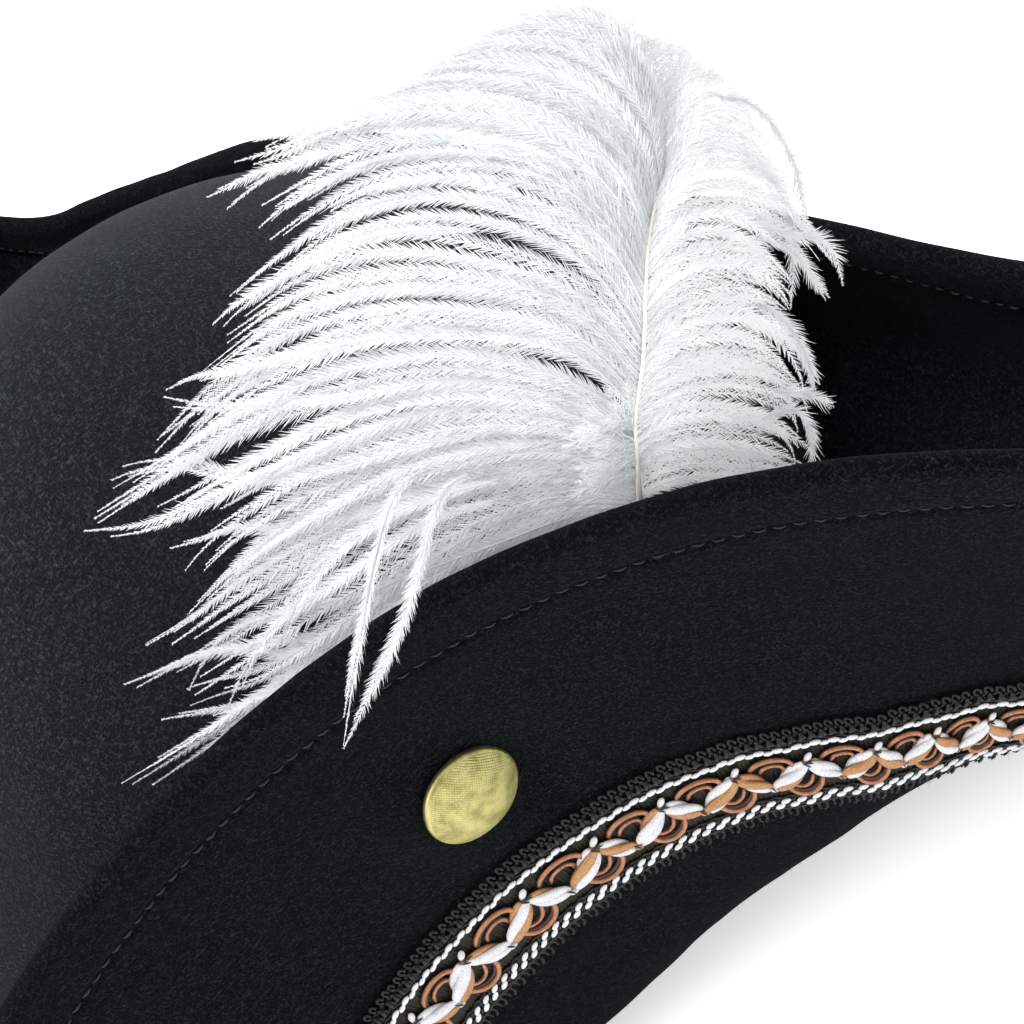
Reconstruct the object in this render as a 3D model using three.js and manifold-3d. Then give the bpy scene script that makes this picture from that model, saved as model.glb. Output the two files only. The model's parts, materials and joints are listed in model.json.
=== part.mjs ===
// Cocked (tricorn) pirate hat: felt crown, felt brim turned up on three sides,
// braid trim, brass buttons, sweatband and an ostrich plume in a felt holder.
// Units are millimetres, +Z is up, the front point of the hat faces -X/-Y.
import * as THREE from 'three';
import * as BufferGeometryUtils from 'three/addons/utils/BufferGeometryUtils.js';
import Module from 'manifold-3d';

const wasm = await Module();
wasm.setup();

// ---------------------------------------------------------------- constants
const ORIGIN = [-21.62, 26.36, -7.55];       // moves the finished hat onto its box-bottom centre
const FELT = 2.8;                 // felt thickness
const HALF = FELT / 2;
const AXIS = 24 * Math.PI / 180;  // direction of the back of the hat in plan
const CROWN_A = 98.2;             // crown half length, front to back
const CROWN_B = 84.6;             // crown half width
const CROWN_H = 133;              // crown height
const CROWN_WALL = 39;            // height where the wall starts to round over
const CROWN_POW = 1.85;           // roundness of the dome
const CROWN_BACK = -3.2;          // crown centre along the axis
const CROWN_LEAN = 7;             // how far the tip leans to the front
const HEM = 13.8;                 // width of the folded hem
// stations round the brim: from column, to column, step
const STATION_RUNS = [[0, 1, 0.25], [1, 4, 0.5], [4, 11, 1], [11, 13, 0.5], [13, 15, 0.25], [15, 21, 0.5], [21, 25, 0.25], [25, 31, 0.5], [31, 36, 1], [36, 38, 0.5], [38, 42, 0.25]];
const BRAID_SHIFT = 2.0;          // the rows below sit this much nearer the edge
const BACK_SHIFT = 31.0;          // and this much more on the back panel
const TRIM_TOP = 70.0;            // distances from the brim edge to the braid rows
const CHAIN_UP = 75.2;
const CHAIN_LOW = 91.0;
const TRIM_LOW = 95.0;
const BUTTON_R = 9.3;
const BUTTON_W = 44.8;            // distance of the buttons from the brim edge

// Control net of the cocked brim: one row per column round the ring, starting at
// the front point: fold point, middle of the turned-up panel, edge point.
const NET = [
  [-200.9, -88.6, -5.4, -204.7, -91.3, -0.5, -208.4, -94.0, 4.3],
  [-142.6, -96.1, -4.3, -165.2, -97.7, 9.7, -187.9, -99.4, 23.8],
  [-102.6, -97.2, -2.7, -132.8, -98.1, 22.9, -163.1, -98.8, 48.6],
  [-73.4, -95.0, -1.1, -105.3, -95.7, 34.6, -137.2, -96.1, 70.2],
  [-50.0, -93.2, 0.9, -79.1, -93.4, 44.7, -108.0, -93.4, 88.6],
  [-30.6, -93.1, 2.8, -54.8, -92.7, 52.8, -78.8, -92.1, 102.8],
  [-13.6, -95.0, 4.8, -30.5, -96.1, 59.9, -47.3, -97.3, 115.1],
  [2.1, -98.1, 6.8, -6.2, -100.5, 64.6, -14.3, -103.0, 122.3],
  [17.6, -101.6, 8.9, 18.3, -106.5, 66.4, 18.9, -111.6, 123.9],
  [33.8, -106.4, 10.9, 42.4, -114.5, 65.3, 50.7, -123.7, 119.7],
  [51.3, -112.8, 13.2, 66.1, -124.6, 61.7, 79.8, -138.5, 110.1],
  [71.2, -121.8, 15.6, 89.2, -137.2, 55.4, 105.8, -154.7, 94.9],
  [90.7, -133.4, 16.7, 108.5, -148.0, 48.0, 125.3, -164.2, 78.8],
  [115.6, -145.8, 17.3, 130.5, -156.2, 36.8, 144.7, -167.4, 56.2],
  [139.3, -153.4, 17.8, 148.6, -159.3, 28.4, 157.7, -165.8, 38.9],
  [157.7, -156.6, 18.4, 161.5, -159.3, 23.8, 165.2, -162.0, 29.2],
  [148.5, -129.0, 16.2, 151.5, -127.5, 26.5, 153.4, -126.8, 36.7],
  [140.2, -97.2, 11.9, 143.4, -95.8, 31.9, 144.2, -95.4, 51.8],
  [130.8, -60.0, 6.5, 131.1, -59.8, 29.1, 128.7, -60.9, 51.6],
  [119.3, -23.8, 2.2, 117.1, -24.7, 30.3, 111.5, -27.2, 58.5],
  [105.9, 11.7, 0.0, 102.2, 10.0, 30.8, 94.6, 6.6, 61.7],
  [89.3, 51.6, -1.1, 84.9, 49.6, 32.7, 76.5, 45.9, 66.5],
  [72.0, 85.2, 0.0, 68.6, 83.7, 32.7, 61.1, 80.5, 65.4],
  [52.7, 118.0, 2.2, 51.1, 117.3, 28.3, 46.2, 115.1, 54.3],
  [34.6, 145.5, 5.4, 34.2, 145.3, 23.5, 31.6, 144.1, 41.7],
  [16.4, 172.8, 8.6, 16.1, 172.7, 19.8, 14.5, 171.9, 30.9],
  [1.4, 193.3, 10.8, 1.2, 193.2, 15.7, 0.4, 192.9, 20.5],
  [-11.3, 211.4, 11.9, -11.7, 214.7, 16.7, -12.0, 218.1, 21.6],
  [-16.8, 197.3, 11.3, -15.0, 208.2, 21.9, -13.7, 219.2, 32.4],
  [-27.2, 175.0, 11.1, -24.9, 193.0, 30.7, -23.8, 211.1, 50.0],
  [-35.2, 149.4, 11.4, -34.0, 172.4, 42.6, -34.9, 195.6, 73.5],
  [-40.4, 128.7, 11.3, -39.6, 152.3, 51.2, -41.5, 176.4, 90.8],
  [-47.7, 109.7, 10.4, -46.7, 128.7, 59.0, -47.7, 148.2, 107.2],
  [-55.6, 94.3, 9.6, -55.8, 106.2, 64.0, -57.1, 118.5, 118.3],
  [-63.5, 80.6, 8.5, -66.6, 84.3, 66.0, -70.1, 88.1, 123.4],
  [-71.5, 67.2, 6.8, -78.8, 62.7, 64.6, -86.2, 58.3, 122.3],
  [-79.7, 53.5, 4.8, -91.8, 41.7, 59.9, -104.0, 30.0, 115.1],
  [-89.6, 39.5, 2.8, -105.5, 21.4, 52.8, -121.2, 3.0, 102.8],
  [-102.7, 25.2, 0.9, -122.4, 3.8, 44.7, -141.7, -17.7, 88.6],
  [-119.8, 9.0, -1.1, -141.6, -14.3, 34.6, -163.2, -37.6, 70.2],
  [-140.9, -11.2, -2.7, -161.7, -33.2, 22.9, -182.5, -55.1, 48.6],
  [-166.9, -41.6, -4.3, -183.2, -57.3, 9.7, -199.6, -73.1, 23.8],];

// ---------------------------------------------------------------- small maths
const add = (a, b, k = 1) => [a[0] + b[0] * k, a[1] + b[1] * k, a[2] + b[2] * k];
const sub = (a, b) => [a[0] - b[0], a[1] - b[1], a[2] - b[2]];
const mul = (a, k) => [a[0] * k, a[1] * k, a[2] * k];
const dot = (a, b) => a[0] * b[0] + a[1] * b[1] + a[2] * b[2];
const cross = (a, b) => [a[1] * b[2] - a[2] * b[1], a[2] * b[0] - a[0] * b[2], a[0] * b[1] - a[1] * b[0]];
const len = (a) => Math.hypot(a[0], a[1], a[2]);
const unit = (a) => mul(a, 1 / (len(a) || 1));
const lerp = (a, b, t) => add(mul(a, 1 - t), b, t);
const along = (x, y) => [Math.cos(AXIS) * x - Math.sin(AXIS) * y, Math.sin(AXIS) * x + Math.cos(AXIS) * y];

// closed Catmull-Rom through one set of the net (0 fold, 1 middle, 2 edge)
function netPoint(set, u) {
  const n = NET.length, i = Math.floor(u), t = u - i;
  const g = (k) => { const r = NET[((i + k) % n + n) % n]; return r.slice(set * 3, set * 3 + 3); };
  const [a, b, c, d] = [g(-1), g(0), g(1), g(2)];
  return [0, 1, 2].map((k) => 0.5 * ((2 * b[k]) + (c[k] - a[k]) * t + (2 * a[k] - 5 * b[k] + 4 * c[k] - d[k]) * t * t
    + (3 * b[k] - a[k] - 3 * c[k] + d[k]) * t * t * t));
}

// crown oval in plan at a polar direction, with the dome scale s
function crownPoint(dir, s, grow = 0, z = 0) {
  const c = Math.cos(dir - AXIS), q = Math.sin(dir - AXIS);
  const r = 1 / Math.hypot(c / (CROWN_A * s + grow), q / (CROWN_B * s + grow));
  const [cx, cy] = along(CROWN_BACK - CROWN_LEAN * z / CROWN_H, 0);
  return [cx + r * Math.cos(dir), cy + r * Math.sin(dir), z];
}

// ---------------------------------------------------------------- brim surface
// Middle surface of the brim for one station: a polyline from the edge (w = 0)
// down the panel, round the soft fold and along the underside to the crown.
function profile(u) {
  const F = netPoint(0, u), M = netPoint(1, u), E = netPoint(2, u);
  const [cx, cy] = along(CROWN_BACK, 0);
  const dir = Math.atan2(F[1] - cy, F[0] - cx);
  const C0 = crownPoint(dir, 1, -FELT), C1 = crownPoint(dir, 1, 0.8);
  const K = sub(mul(M, 2), mul(add(F, E), 0.5));
  const bez = (a, b, c, t) => add(add(mul(a, (1 - t) * (1 - t)), b, 2 * t * (1 - t)), c, t * t);
  const web = len(sub(F, C1)), pan = len(sub(E, F));
  const cut = Math.min(10, 0.48 * web, 0.7 * pan);
  const tc = Math.min(0.9, cut / pan);
  const pts = [];
  for (let k = 0; k <= 12; k++) pts.push(bez(E, K, F, (1 - tc) * k / 12));
  const A = pts[pts.length - 1], B = add(F, unit(sub(C1, F)), cut);
  for (let k = 1; k <= 8; k++) pts.push(bez(A, F, B, k / 8));
  for (let k = 1; k <= 6; k++) pts.push(lerp(B, C1, k / 6));
  pts.push(C0);
  const W = [0];
  for (let k = 1; k < pts.length; k++) W.push(W[k - 1] + len(sub(pts[k], pts[k - 1])));
  return { pts, W, total: W[W.length - 1], fold: (W[12] + W[20]) / 2 };
}
const cache = new Map();
const profileAt = (u) => {
  const n = NET.length, key = (((u % n) + n) % n).toFixed(4);
  if (!cache.has(key)) cache.set(key, profile(Number(key)));
  return cache.get(key);
};
function mid(u, w) {
  const { pts, W, total } = profileAt(u);
  if (w <= 0) return add(pts[0], unit(sub(pts[0], pts[1])), -w);
  if (w >= total) { const m = pts.length; return add(pts[m - 1], unit(sub(pts[m - 1], pts[m - 2])), w - total); }
  let k = 1; while (W[k] < w) k++;
  return lerp(pts[k - 1], pts[k], (w - W[k - 1]) / (W[k] - W[k - 1]));
}
// unit normal on the outer side of the turned-up panels (below the hat on the underside)
function normal(u, w) {
  const e = 0.34, dw = 3.0, wt = profileAt(u).total;
  const wc = Math.min(Math.max(w, 0), wt);
  const ru = sub(mid(u + e, wc), mid(u - e, wc));
  const rw = sub(mid(u, Math.min(wc + dw, wt)), mid(u, Math.max(wc - dw, 0)));
  return mul(unit(cross(ru, rw)), -1);
}
const surf = (u, w, d) => add(mid(u, w), normal(u, w), d);
// The braid runs parallel to the brim edge, and closer to it on the short back panel.
const smooth = (x) => { const t = Math.min(Math.max(x, 0), 1); return t * t * (3 - 2 * t); };
// On the near panel it wanders a few millimetres, as it was sewn by hand.
const SEWN = [[4, 0], [5.3, 1.5], [6.26, 2.6], [6.97, 3.6], [8.26, 4], [8.86, 3], [9.42, 0.4], [9.97, -1.8], [10.45, -0.4], [10.89, 2.2], [12.5, 0]];
function sewn(u) {
  for (let k = 1; k < SEWN.length; k++) {
    const [a, p] = SEWN[k - 1], [b, q] = SEWN[k];
    if (u >= a && u < b) return p + (q - p) * smooth((u - a) / (b - a));
  }
  return 0;
}
const braidShift = (u) => BRAID_SHIFT + sewn(u) + BACK_SHIFT * smooth((u - 15) / 3.5) * (1 - smooth((u - 24) / 3.5));
// The felt is faceted at these distances from the edge; whatever lies on it uses
// the same facets, so a braid row stays parallel to the felt under it.
const ROWS = [70, 73.6, 78.3, 83, 87.7, 92.3, 96];
function knots(u) {
  const sh = braidShift(u), top = ROWS[0] - sh, h = HEM + 1.2;
  return [h, h + 0.36 * (top - h), h + 0.72 * (top - h), ...ROWS.map((w) => w - sh)];
}
function lay(u, w0, d) {
  const K = knots(u), w = w0 - braidShift(u);
  let k = 1; while (k < K.length - 1 && K[k] < w) k++;
  const a = K[k - 1], b = K[k];
  return lerp(surf(u, a, d), surf(u, b, d), (w - a) / (b - a));
}

// ---------------------------------------------------------------- mesh helpers
const group = new THREE.Group();
group.name = 'pirate_hat';
function volume(P, T) {
  let v = 0;
  for (const [a, b, c] of T) v += dot(P[a], cross(P[b], P[c])) / 6;
  return v;
}
function toGeometry(P, T) {
  if (volume(P, T) < 0) T = T.map(([a, b, c]) => [a, c, b]);
  const g = new THREE.BufferGeometry();
  g.setAttribute('position', new THREE.Float32BufferAttribute(P.flat(), 3));
  g.setIndex(T.flat());
  return g;
}
// ring of closed sections: grid[i][j], both directions closed
function ringSolid(grid) {
  const n = grid.length, m = grid[0].length, P = grid.flat(), T = [];
  for (let i = 0; i < n; i++) for (let j = 0; j < m; j++) {
    const a = i * m + j, b = ((i + 1) % n) * m + j, c = ((i + 1) % n) * m + (j + 1) % m, d = i * m + (j + 1) % m;
    T.push([a, b, c], [a, c, d]);
  }
  return toGeometry(P, T);
}
// open run of closed sections, capped at both ends with a fan
function tubeSolid(grid) {
  const n = grid.length, m = grid[0].length, P = grid.flat(), T = [];
  for (let i = 0; i < n - 1; i++) for (let j = 0; j < m; j++) {
    const a = i * m + j, b = (i + 1) * m + j, c = (i + 1) * m + (j + 1) % m, d = i * m + (j + 1) % m;
    T.push([a, b, c], [a, c, d]);
  }
  for (const [i, s] of [[0, 1], [n - 1, -1]]) {
    const c = P.length;
    P.push(mul(grid[i].reduce((q, r) => add(q, r), [0, 0, 0]), 1 / m));
    for (let j = 0; j < m; j++) {
      const a = i * m + j, b = i * m + (j + 1) % m;
      T.push(s > 0 ? [c, a, b] : [c, b, a]);
    }
  }
  return toGeometry(P, T);
}
function addMesh(name, geometry, color, roughness, metalness = 0) {
  let g = geometry.clone();
  g.deleteAttribute('normal'); g.deleteAttribute('uv');
  g = BufferGeometryUtils.mergeVertices(g, 1e-3);
  g.translate(-ORIGIN[0], -ORIGIN[1], -ORIGIN[2]);
  g.computeVertexNormals();
  const mesh = new THREE.Mesh(g, new THREE.MeshStandardMaterial({ color, roughness, metalness }));
  mesh.name = name;
  group.add(mesh);
  return mesh;
}
function toManifold(geometry) {
  let g = geometry.clone();
  g.deleteAttribute('normal'); g.deleteAttribute('uv');
  g = BufferGeometryUtils.mergeVertices(g, 1e-3);
  return new wasm.Manifold(new wasm.Mesh({ numProp: 3, vertProperties: new Float32Array(g.attributes.position.array), triVerts: new Uint32Array(g.index.array) }));
}
function fromManifold(man) {
  const m = man.getMesh(), g = new THREE.BufferGeometry();
  const pos = new Float32Array(m.numVert * 3);
  for (let i = 0; i < m.numVert; i++) for (let k = 0; k < 3; k++) pos[i * 3 + k] = m.vertProperties[i * m.numProp + k];
  g.setAttribute('position', new THREE.BufferAttribute(pos, 3));
  g.setIndex(new THREE.BufferAttribute(new Uint32Array(m.triVerts), 1));
  return g;
}
// stations round the brim, closer together where the folds turn sharply
const US = [];
for (const [from, to, step] of STATION_RUNS) for (let k = 0; k < Math.round((to - from) / step); k++) US.push(from + k * step);

// ---------------------------------------------------------------- brim
// Section of the brim: felt of even thickness, folded over once along the edge.
const hemSection = [
  [HEM - 0.1, -HALF - 2.0], [HEM - 3.5, -HALF - 2.8], [3.0, -HALF - 2.6], [0.3, -HALF - 1.0],
  [0.3, 0.5], [2.4, HALF + 0.3], [7.5, HALF + 0.55], [HEM - 0.6, HALF - 0.2], [HEM + 1.2, HALF],
];
function brimSection(u) {
  const { total } = profileAt(u), s = hemSection.map(([w, d]) => surf(u, w, d));
  const w = knots(u).slice(1), last = w[w.length - 1];
  for (const f of [0.36, 0.72, 1]) w.push(last + (total - 4.2 - last) * f);
  for (const v of w) s.push(surf(u, v, HALF));
  s.push(surf(u, total, HALF), surf(u, total, -HALF));
  for (const v of [...w].reverse()) s.push(surf(u, v, -HALF));
  s.push(surf(u, HEM + 0.1, -HALF));
  return s;
}
let brim = toManifold(ringSolid(US.map(brimSection)));

// ---------------------------------------------------------------- buttons
// Domed brass caps on a shank that goes through the panel to a washer behind it.
const BUTTON_U = { near: 7.33, left: 34.75, back: 21.0 };
const lathe = (pts, seg = 20) => new THREE.LatheGeometry(pts.map(([x, y]) => new THREE.Vector2(x, y)), seg);
function placeOnPanel(g, u, w, lift) {
  const o = surf(u, w, lift), n = normal(u, w);
  const q = new THREE.Quaternion().setFromUnitVectors(new THREE.Vector3(0, 1, 0), new THREE.Vector3(...n));
  g.applyQuaternion(q); g.translate(...o);
  return g;
}
const buttonW = { near: BUTTON_W, left: BUTTON_W, back: 25.5 };
for (const [side, u] of Object.entries(BUTTON_U)) {
  const w = buttonW[side];
  const hole = toManifold(placeOnPanel(new THREE.CylinderGeometry(1.9, 1.9, 12, 12), u, w, 0));
  brim = brim.subtract(hole);
  // cap: shallow dome, rolled rim, closed underneath
  addMesh(`button_cap_${side}`, placeOnPanel(lathe([[0, 1.0], [6.6, 1.0], [8.7, 0.55], [9.25, 1.0], [BUTTON_R, 1.7], [8.7, 2.5], [6.4, 3.6], [3.4, 4.3], [0, 4.55]]), u, w, HALF), 0xc9c24f, 0.34, 0.9);
  // shank: stem through the felt with a wide eyelet under the cap
  addMesh(`button_shank_${side}`, placeOnPanel(lathe([[0, -FELT - 1.6], [1.5, -FELT - 1.6], [1.5, 0.7], [0, 0.7]], 10), u, w, HALF), 0xb5ad52, 0.4, 0.9);
  // washer behind the felt, round the stem
  addMesh(`button_washer_${side}`, placeOnPanel(lathe([[1.85, -FELT - 1.1], [5.2, -FELT - 1.1], [5.2, -FELT - 0.35], [1.85, -FELT - 0.35], [1.85, -FELT - 1.1]], 14), u, w, HALF), 0x2a2622, 0.8, 0.0);
}
addMesh('brim', fromManifold(brim), 0x14171b, 0.95);

// ---------------------------------------------------------------- crown
// Hollow blocked dome standing on the inner edge of the brim.
function crownShell() {
  const seg = 40, P = [], T = [], rings = [];
  const scaleAt = (z, H, wall) => {
    const q = Math.min(1, Math.max(0, (z - wall) / (H - wall)));
    return Math.pow(1 - Math.pow(q, CROWN_POW), 1 / CROWN_POW) * (1 - 0.03 * Math.min(1, z / wall));
  };
  const zs = [0, 0.16, 0.3, 0.42, 0.53, 0.63, 0.72, 0.8, 0.87, 0.925, 0.965, 0.99];
  const z0 = HALF + 0.3;
  const ringOf = (z, zz, inset) => Array.from({ length: seg }, (_, k) => crownPoint(AXIS + k * 2 * Math.PI / seg, 1, 0, z).map((v, i) => v)).map((p, k) => {
    const s = scaleAt(zz, CROWN_H - inset, CROWN_WALL);
    const q = crownPoint(AXIS + k * 2 * Math.PI / seg, Math.max(s, 0.001), -inset * Math.sqrt(Math.max(s, 0)), z);
    return q;
  });
  for (const f of zs) rings.push(ringOf(Math.max(z0, f * CROWN_H), f * CROWN_H, 0));
  const inner = [];
  for (const f of zs) inner.push(ringOf(Math.max(z0, f * (CROWN_H - FELT)), f * (CROWN_H - FELT), FELT));
  const tipOut = (() => { const [x, y] = along(CROWN_BACK - CROWN_LEAN, 0); return [x, y, CROWN_H]; })();
  const tipIn = (() => { const [x, y] = along(CROWN_BACK - CROWN_LEAN * (CROWN_H - FELT) / CROWN_H, 0); return [x, y, CROWN_H - FELT]; })();
  const all = [...rings, ...inner.reverse()];
  for (const r of all) P.push(...r);
  const nr = rings.length;
  for (let i = 0; i < all.length - 1; i++) {
    if (i === nr - 1) continue;
    for (let k = 0; k < seg; k++) {
      const a = i * seg + k, b = i * seg + (k + 1) % seg, c = (i + 1) * seg + (k + 1) % seg, d = (i + 1) * seg + k;
      T.push([a, b, c], [a, c, d]);
    }
  }
  // outer tip, inner tip and the bottom rim
  const to = P.length; P.push(tipOut); const ti = P.length; P.push(tipIn);
  for (let k = 0; k < seg; k++) {
    T.push([(nr - 1) * seg + k, (nr - 1) * seg + (k + 1) % seg, to]);
    T.push([ti, nr * seg + (k + 1) % seg, nr * seg + k]);
    const a = k, b = (k + 1) % seg, c = (all.length - 1) * seg + (k + 1) % seg, d = (all.length - 1) * seg + k;
    T.push([b, a, d], [b, d, c]);
  }
  return toGeometry(P, T);
}
addMesh('crown', crownShell(), 0x1b1f22, 0.95);

// sweatband: thin strip standing inside the head opening
addMesh('sweatband', ringSolid(Array.from({ length: 48 }, (_, k) => {
  const a = k * 2 * Math.PI / 48;
  return [[-FELT - 0.6, 2.2], [-FELT - 1.6, 2.2], [-FELT - 2.0, 31], [-FELT - 1.0, 31]]
    .map(([g, z]) => crownPoint(a, 1 - 0.03 * z / CROWN_WALL, g, z));
})), 0x1a1817, 0.7);

// ---------------------------------------------------------------- braid trim
// Each row follows the brim edge at its own distance, just off the felt.
function row(name, w0, w1, d0, d1, color, rough) {
  const sec = [[w0, d0], [w1, d0], [(w0 + w1) / 2, d1]];
  addMesh(name, ringSolid(US.map((u) => sec.map(([w, d]) => lay(u, w, d)))), color, rough);
}
const D0 = HALF + 0.35;
const D1 = D0 + 1.65;             // top of the ribbon plus a hair of air
row('trim_lace_edge', TRIM_TOP + 0.1, 73.3, D0, D0 + 1.9, 0x24231c, 0.9);
const under = [73.6, 78.3, 83, 87.7, 92.3];
addMesh('trim_ribbon', ringSolid(US.map((u) => [...under.map((w) => lay(u, w, D0)), ...under.slice().reverse().map((w) => lay(u, w, D0 + 0.4))])), 0x1d1b16, 0.8);
row('trim_chain_upper', 74.2, 76.4, D1, D1 + 1.1, 0xe8e8ea, 0.6);
row('trim_cord_copper', 78.4, 82.7, D1, D1 + 1.3, 0xb06a38, 0.5);
row('trim_leaf_row', 83.3, 87.6, D1, D1 + 1.5, 0xf0eee8, 0.4);
row('trim_chain_lower', 89.4, 92.1, D1, D1 + 1.1, 0xe8e8ea, 0.6);
row('trim_picot_edge', 92.7, TRIM_LOW, D0 + 0.25, D0 + 1.4, 0x1c1b18, 0.9);
addMesh('hem_stitch_row', ringSolid(US.map((u) => [[HEM - 1.6, HALF + 0.55], [HEM - 0.6, HALF + 0.2], [HEM - 0.9, HALF + 0.95]].map(([w, d]) => surf(u, w, d)))), 0x0a0b0d, 0.8);

// ---------------------------------------------------------------- plume
// Ostrich plume: quill, two vanes and the felt holder behind the near panel.
const RACHIS = [[33.5, -102.8, 58.2], [40.4, -107.5, 76.4], [47.4, -112.3, 94.5], [53.7, -116.5, 110.8], [58.0, -117.3, 119.1],
  [61.6, -117.4, 125.1], [68.5, -116.5, 132.3], [75.5, -113.3, 139.1], [80.9, -109.7, 143.2], [86.0, -106.4, 145.6],
  [90.5, -103.3, 146.1], [93.2, -99.7, 147.1], [95.3, -94.0, 149.1], [96.9, -85.2, 151.7], [96.8, -77.3, 153.3]];
const VANE_LEFT = [[[55.3, -116.9, 113.7], [-19.2, -74.4, 120.1]], [[60.4, -117.4, 123.2], [-17.7, -62.9, 136.5]],
  [[68.5, -116.5, 132.3], [-5.0, -61.2, 147.7]], [[75.5, -113.3, 139.1], [11.2, -62.5, 155.3]],
  [[80.9, -109.7, 143.2], [27.7, -62.6, 161.4]], [[86.0, -106.4, 145.6], [38.3, -62.1, 168.0]],
  [[90.5, -103.3, 146.1], [52.9, -64.2, 171.7]], [[93.2, -99.7, 147.1], [66.5, -66.8, 171.7]],
  [[95.3, -94.0, 149.1], [77.9, -67.9, 170.4]]];
const VANE_RIGHT = [[[55.3, -116.9, 113.7], [75.0, -120.2, 97.3]], [[60.4, -117.4, 123.2], [80.1, -119.7, 99.4]],
  [[68.5, -116.5, 132.3], [87.2, -116.2, 105.0]], [[75.5, -113.3, 139.1], [93.8, -111.8, 113.2]],
  [[80.9, -109.7, 143.2], [98.1, -109.2, 119.2]], [[86.0, -106.4, 145.6], [101.3, -106.6, 122.3]],
  [[90.5, -103.3, 146.1], [104.1, -103.3, 126.1]], [[93.2, -99.7, 147.1], [105.2, -99.7, 130.2]],
  [[95.3, -94.0, 149.1], [107.3, -94.0, 136.9]]];
const PULL = unit(sub(RACHIS[3], RACHIS[0]));   // straight lower quill, the way the plume draws out
const FACE = [0.0, -0.758, 0.652];              // the plume's flat side faces this way
const catmull = (K, t) => {
  const n = K.length - 1, x = Math.min(t * n, n - 1e-9), i = Math.floor(x), f = x - i;
  const g = (k) => K[Math.min(Math.max(i + k, 0), n)];
  const [a, b, c, d] = [g(-1), g(0), g(1), g(2)];
  return [0, 1, 2].map((k) => 0.5 * ((2 * b[k]) + (c[k] - a[k]) * f + (2 * a[k] - 5 * b[k] + 4 * c[k] - d[k]) * f * f + (3 * b[k] - a[k] - 3 * c[k] + d[k]) * f * f * f));
};
const quillGrid = [];
for (let i = 0; i <= 26; i++) {
  const t = i / 26, p = catmull(RACHIS, t), q = catmull(RACHIS, Math.min(t + 0.01, 1)), q0 = catmull(RACHIS, Math.max(t - 0.01, 0));
  const dir = unit(sub(q, q0)), side = unit(cross(dir, FACE)), up = cross(side, dir);
  const r = 1.5 - 1.05 * Math.pow(t, 0.8);
  quillGrid.push(Array.from({ length: 7 }, (_, k) => {
    const a = k * 2 * Math.PI / 7;
    return add(add(p, side, r * Math.cos(a)), up, r * Math.sin(a));
  }));
}
addMesh('feather_quill', tubeSolid(quillGrid), 0xe9e2cf, 0.5);
function vane(name, rows) {
  const grid = rows.map(([root, tip]) => {
    const dir = unit(sub(tip, root)), L = len(sub(tip, root));
    const side = unit(sub(FACE, mul(dir, dot(FACE, dir))));
    const top = [[2.4, 0.9], [L * 0.36, 1.7], [L * 0.7, 1.5], [L, 0.5]];
    return [...top.map(([x, h]) => add(add(root, dir, x), side, h)), ...top.reverse().map(([x, h]) => add(add(root, dir, x), side, -h))];
  });
  addMesh(name, tubeSolid(grid), 0xf4f5f6, 0.8);
}
vane('feather_vane_left', VANE_LEFT);
vane('feather_vane_right', VANE_RIGHT);

// felt loop sewn behind the panel; the quill stands in its bore
const holder = lathe([[2.3, 5], [4.7, 5], [4.7, 19], [2.3, 19], [2.3, 5]], 16);
holder.applyQuaternion(new THREE.Quaternion().setFromUnitVectors(new THREE.Vector3(0, 1, 0), new THREE.Vector3(...PULL)));
holder.translate(...RACHIS[0]);
addMesh('feather_holder', holder, 0x121417, 0.95);

export default group;
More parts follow.
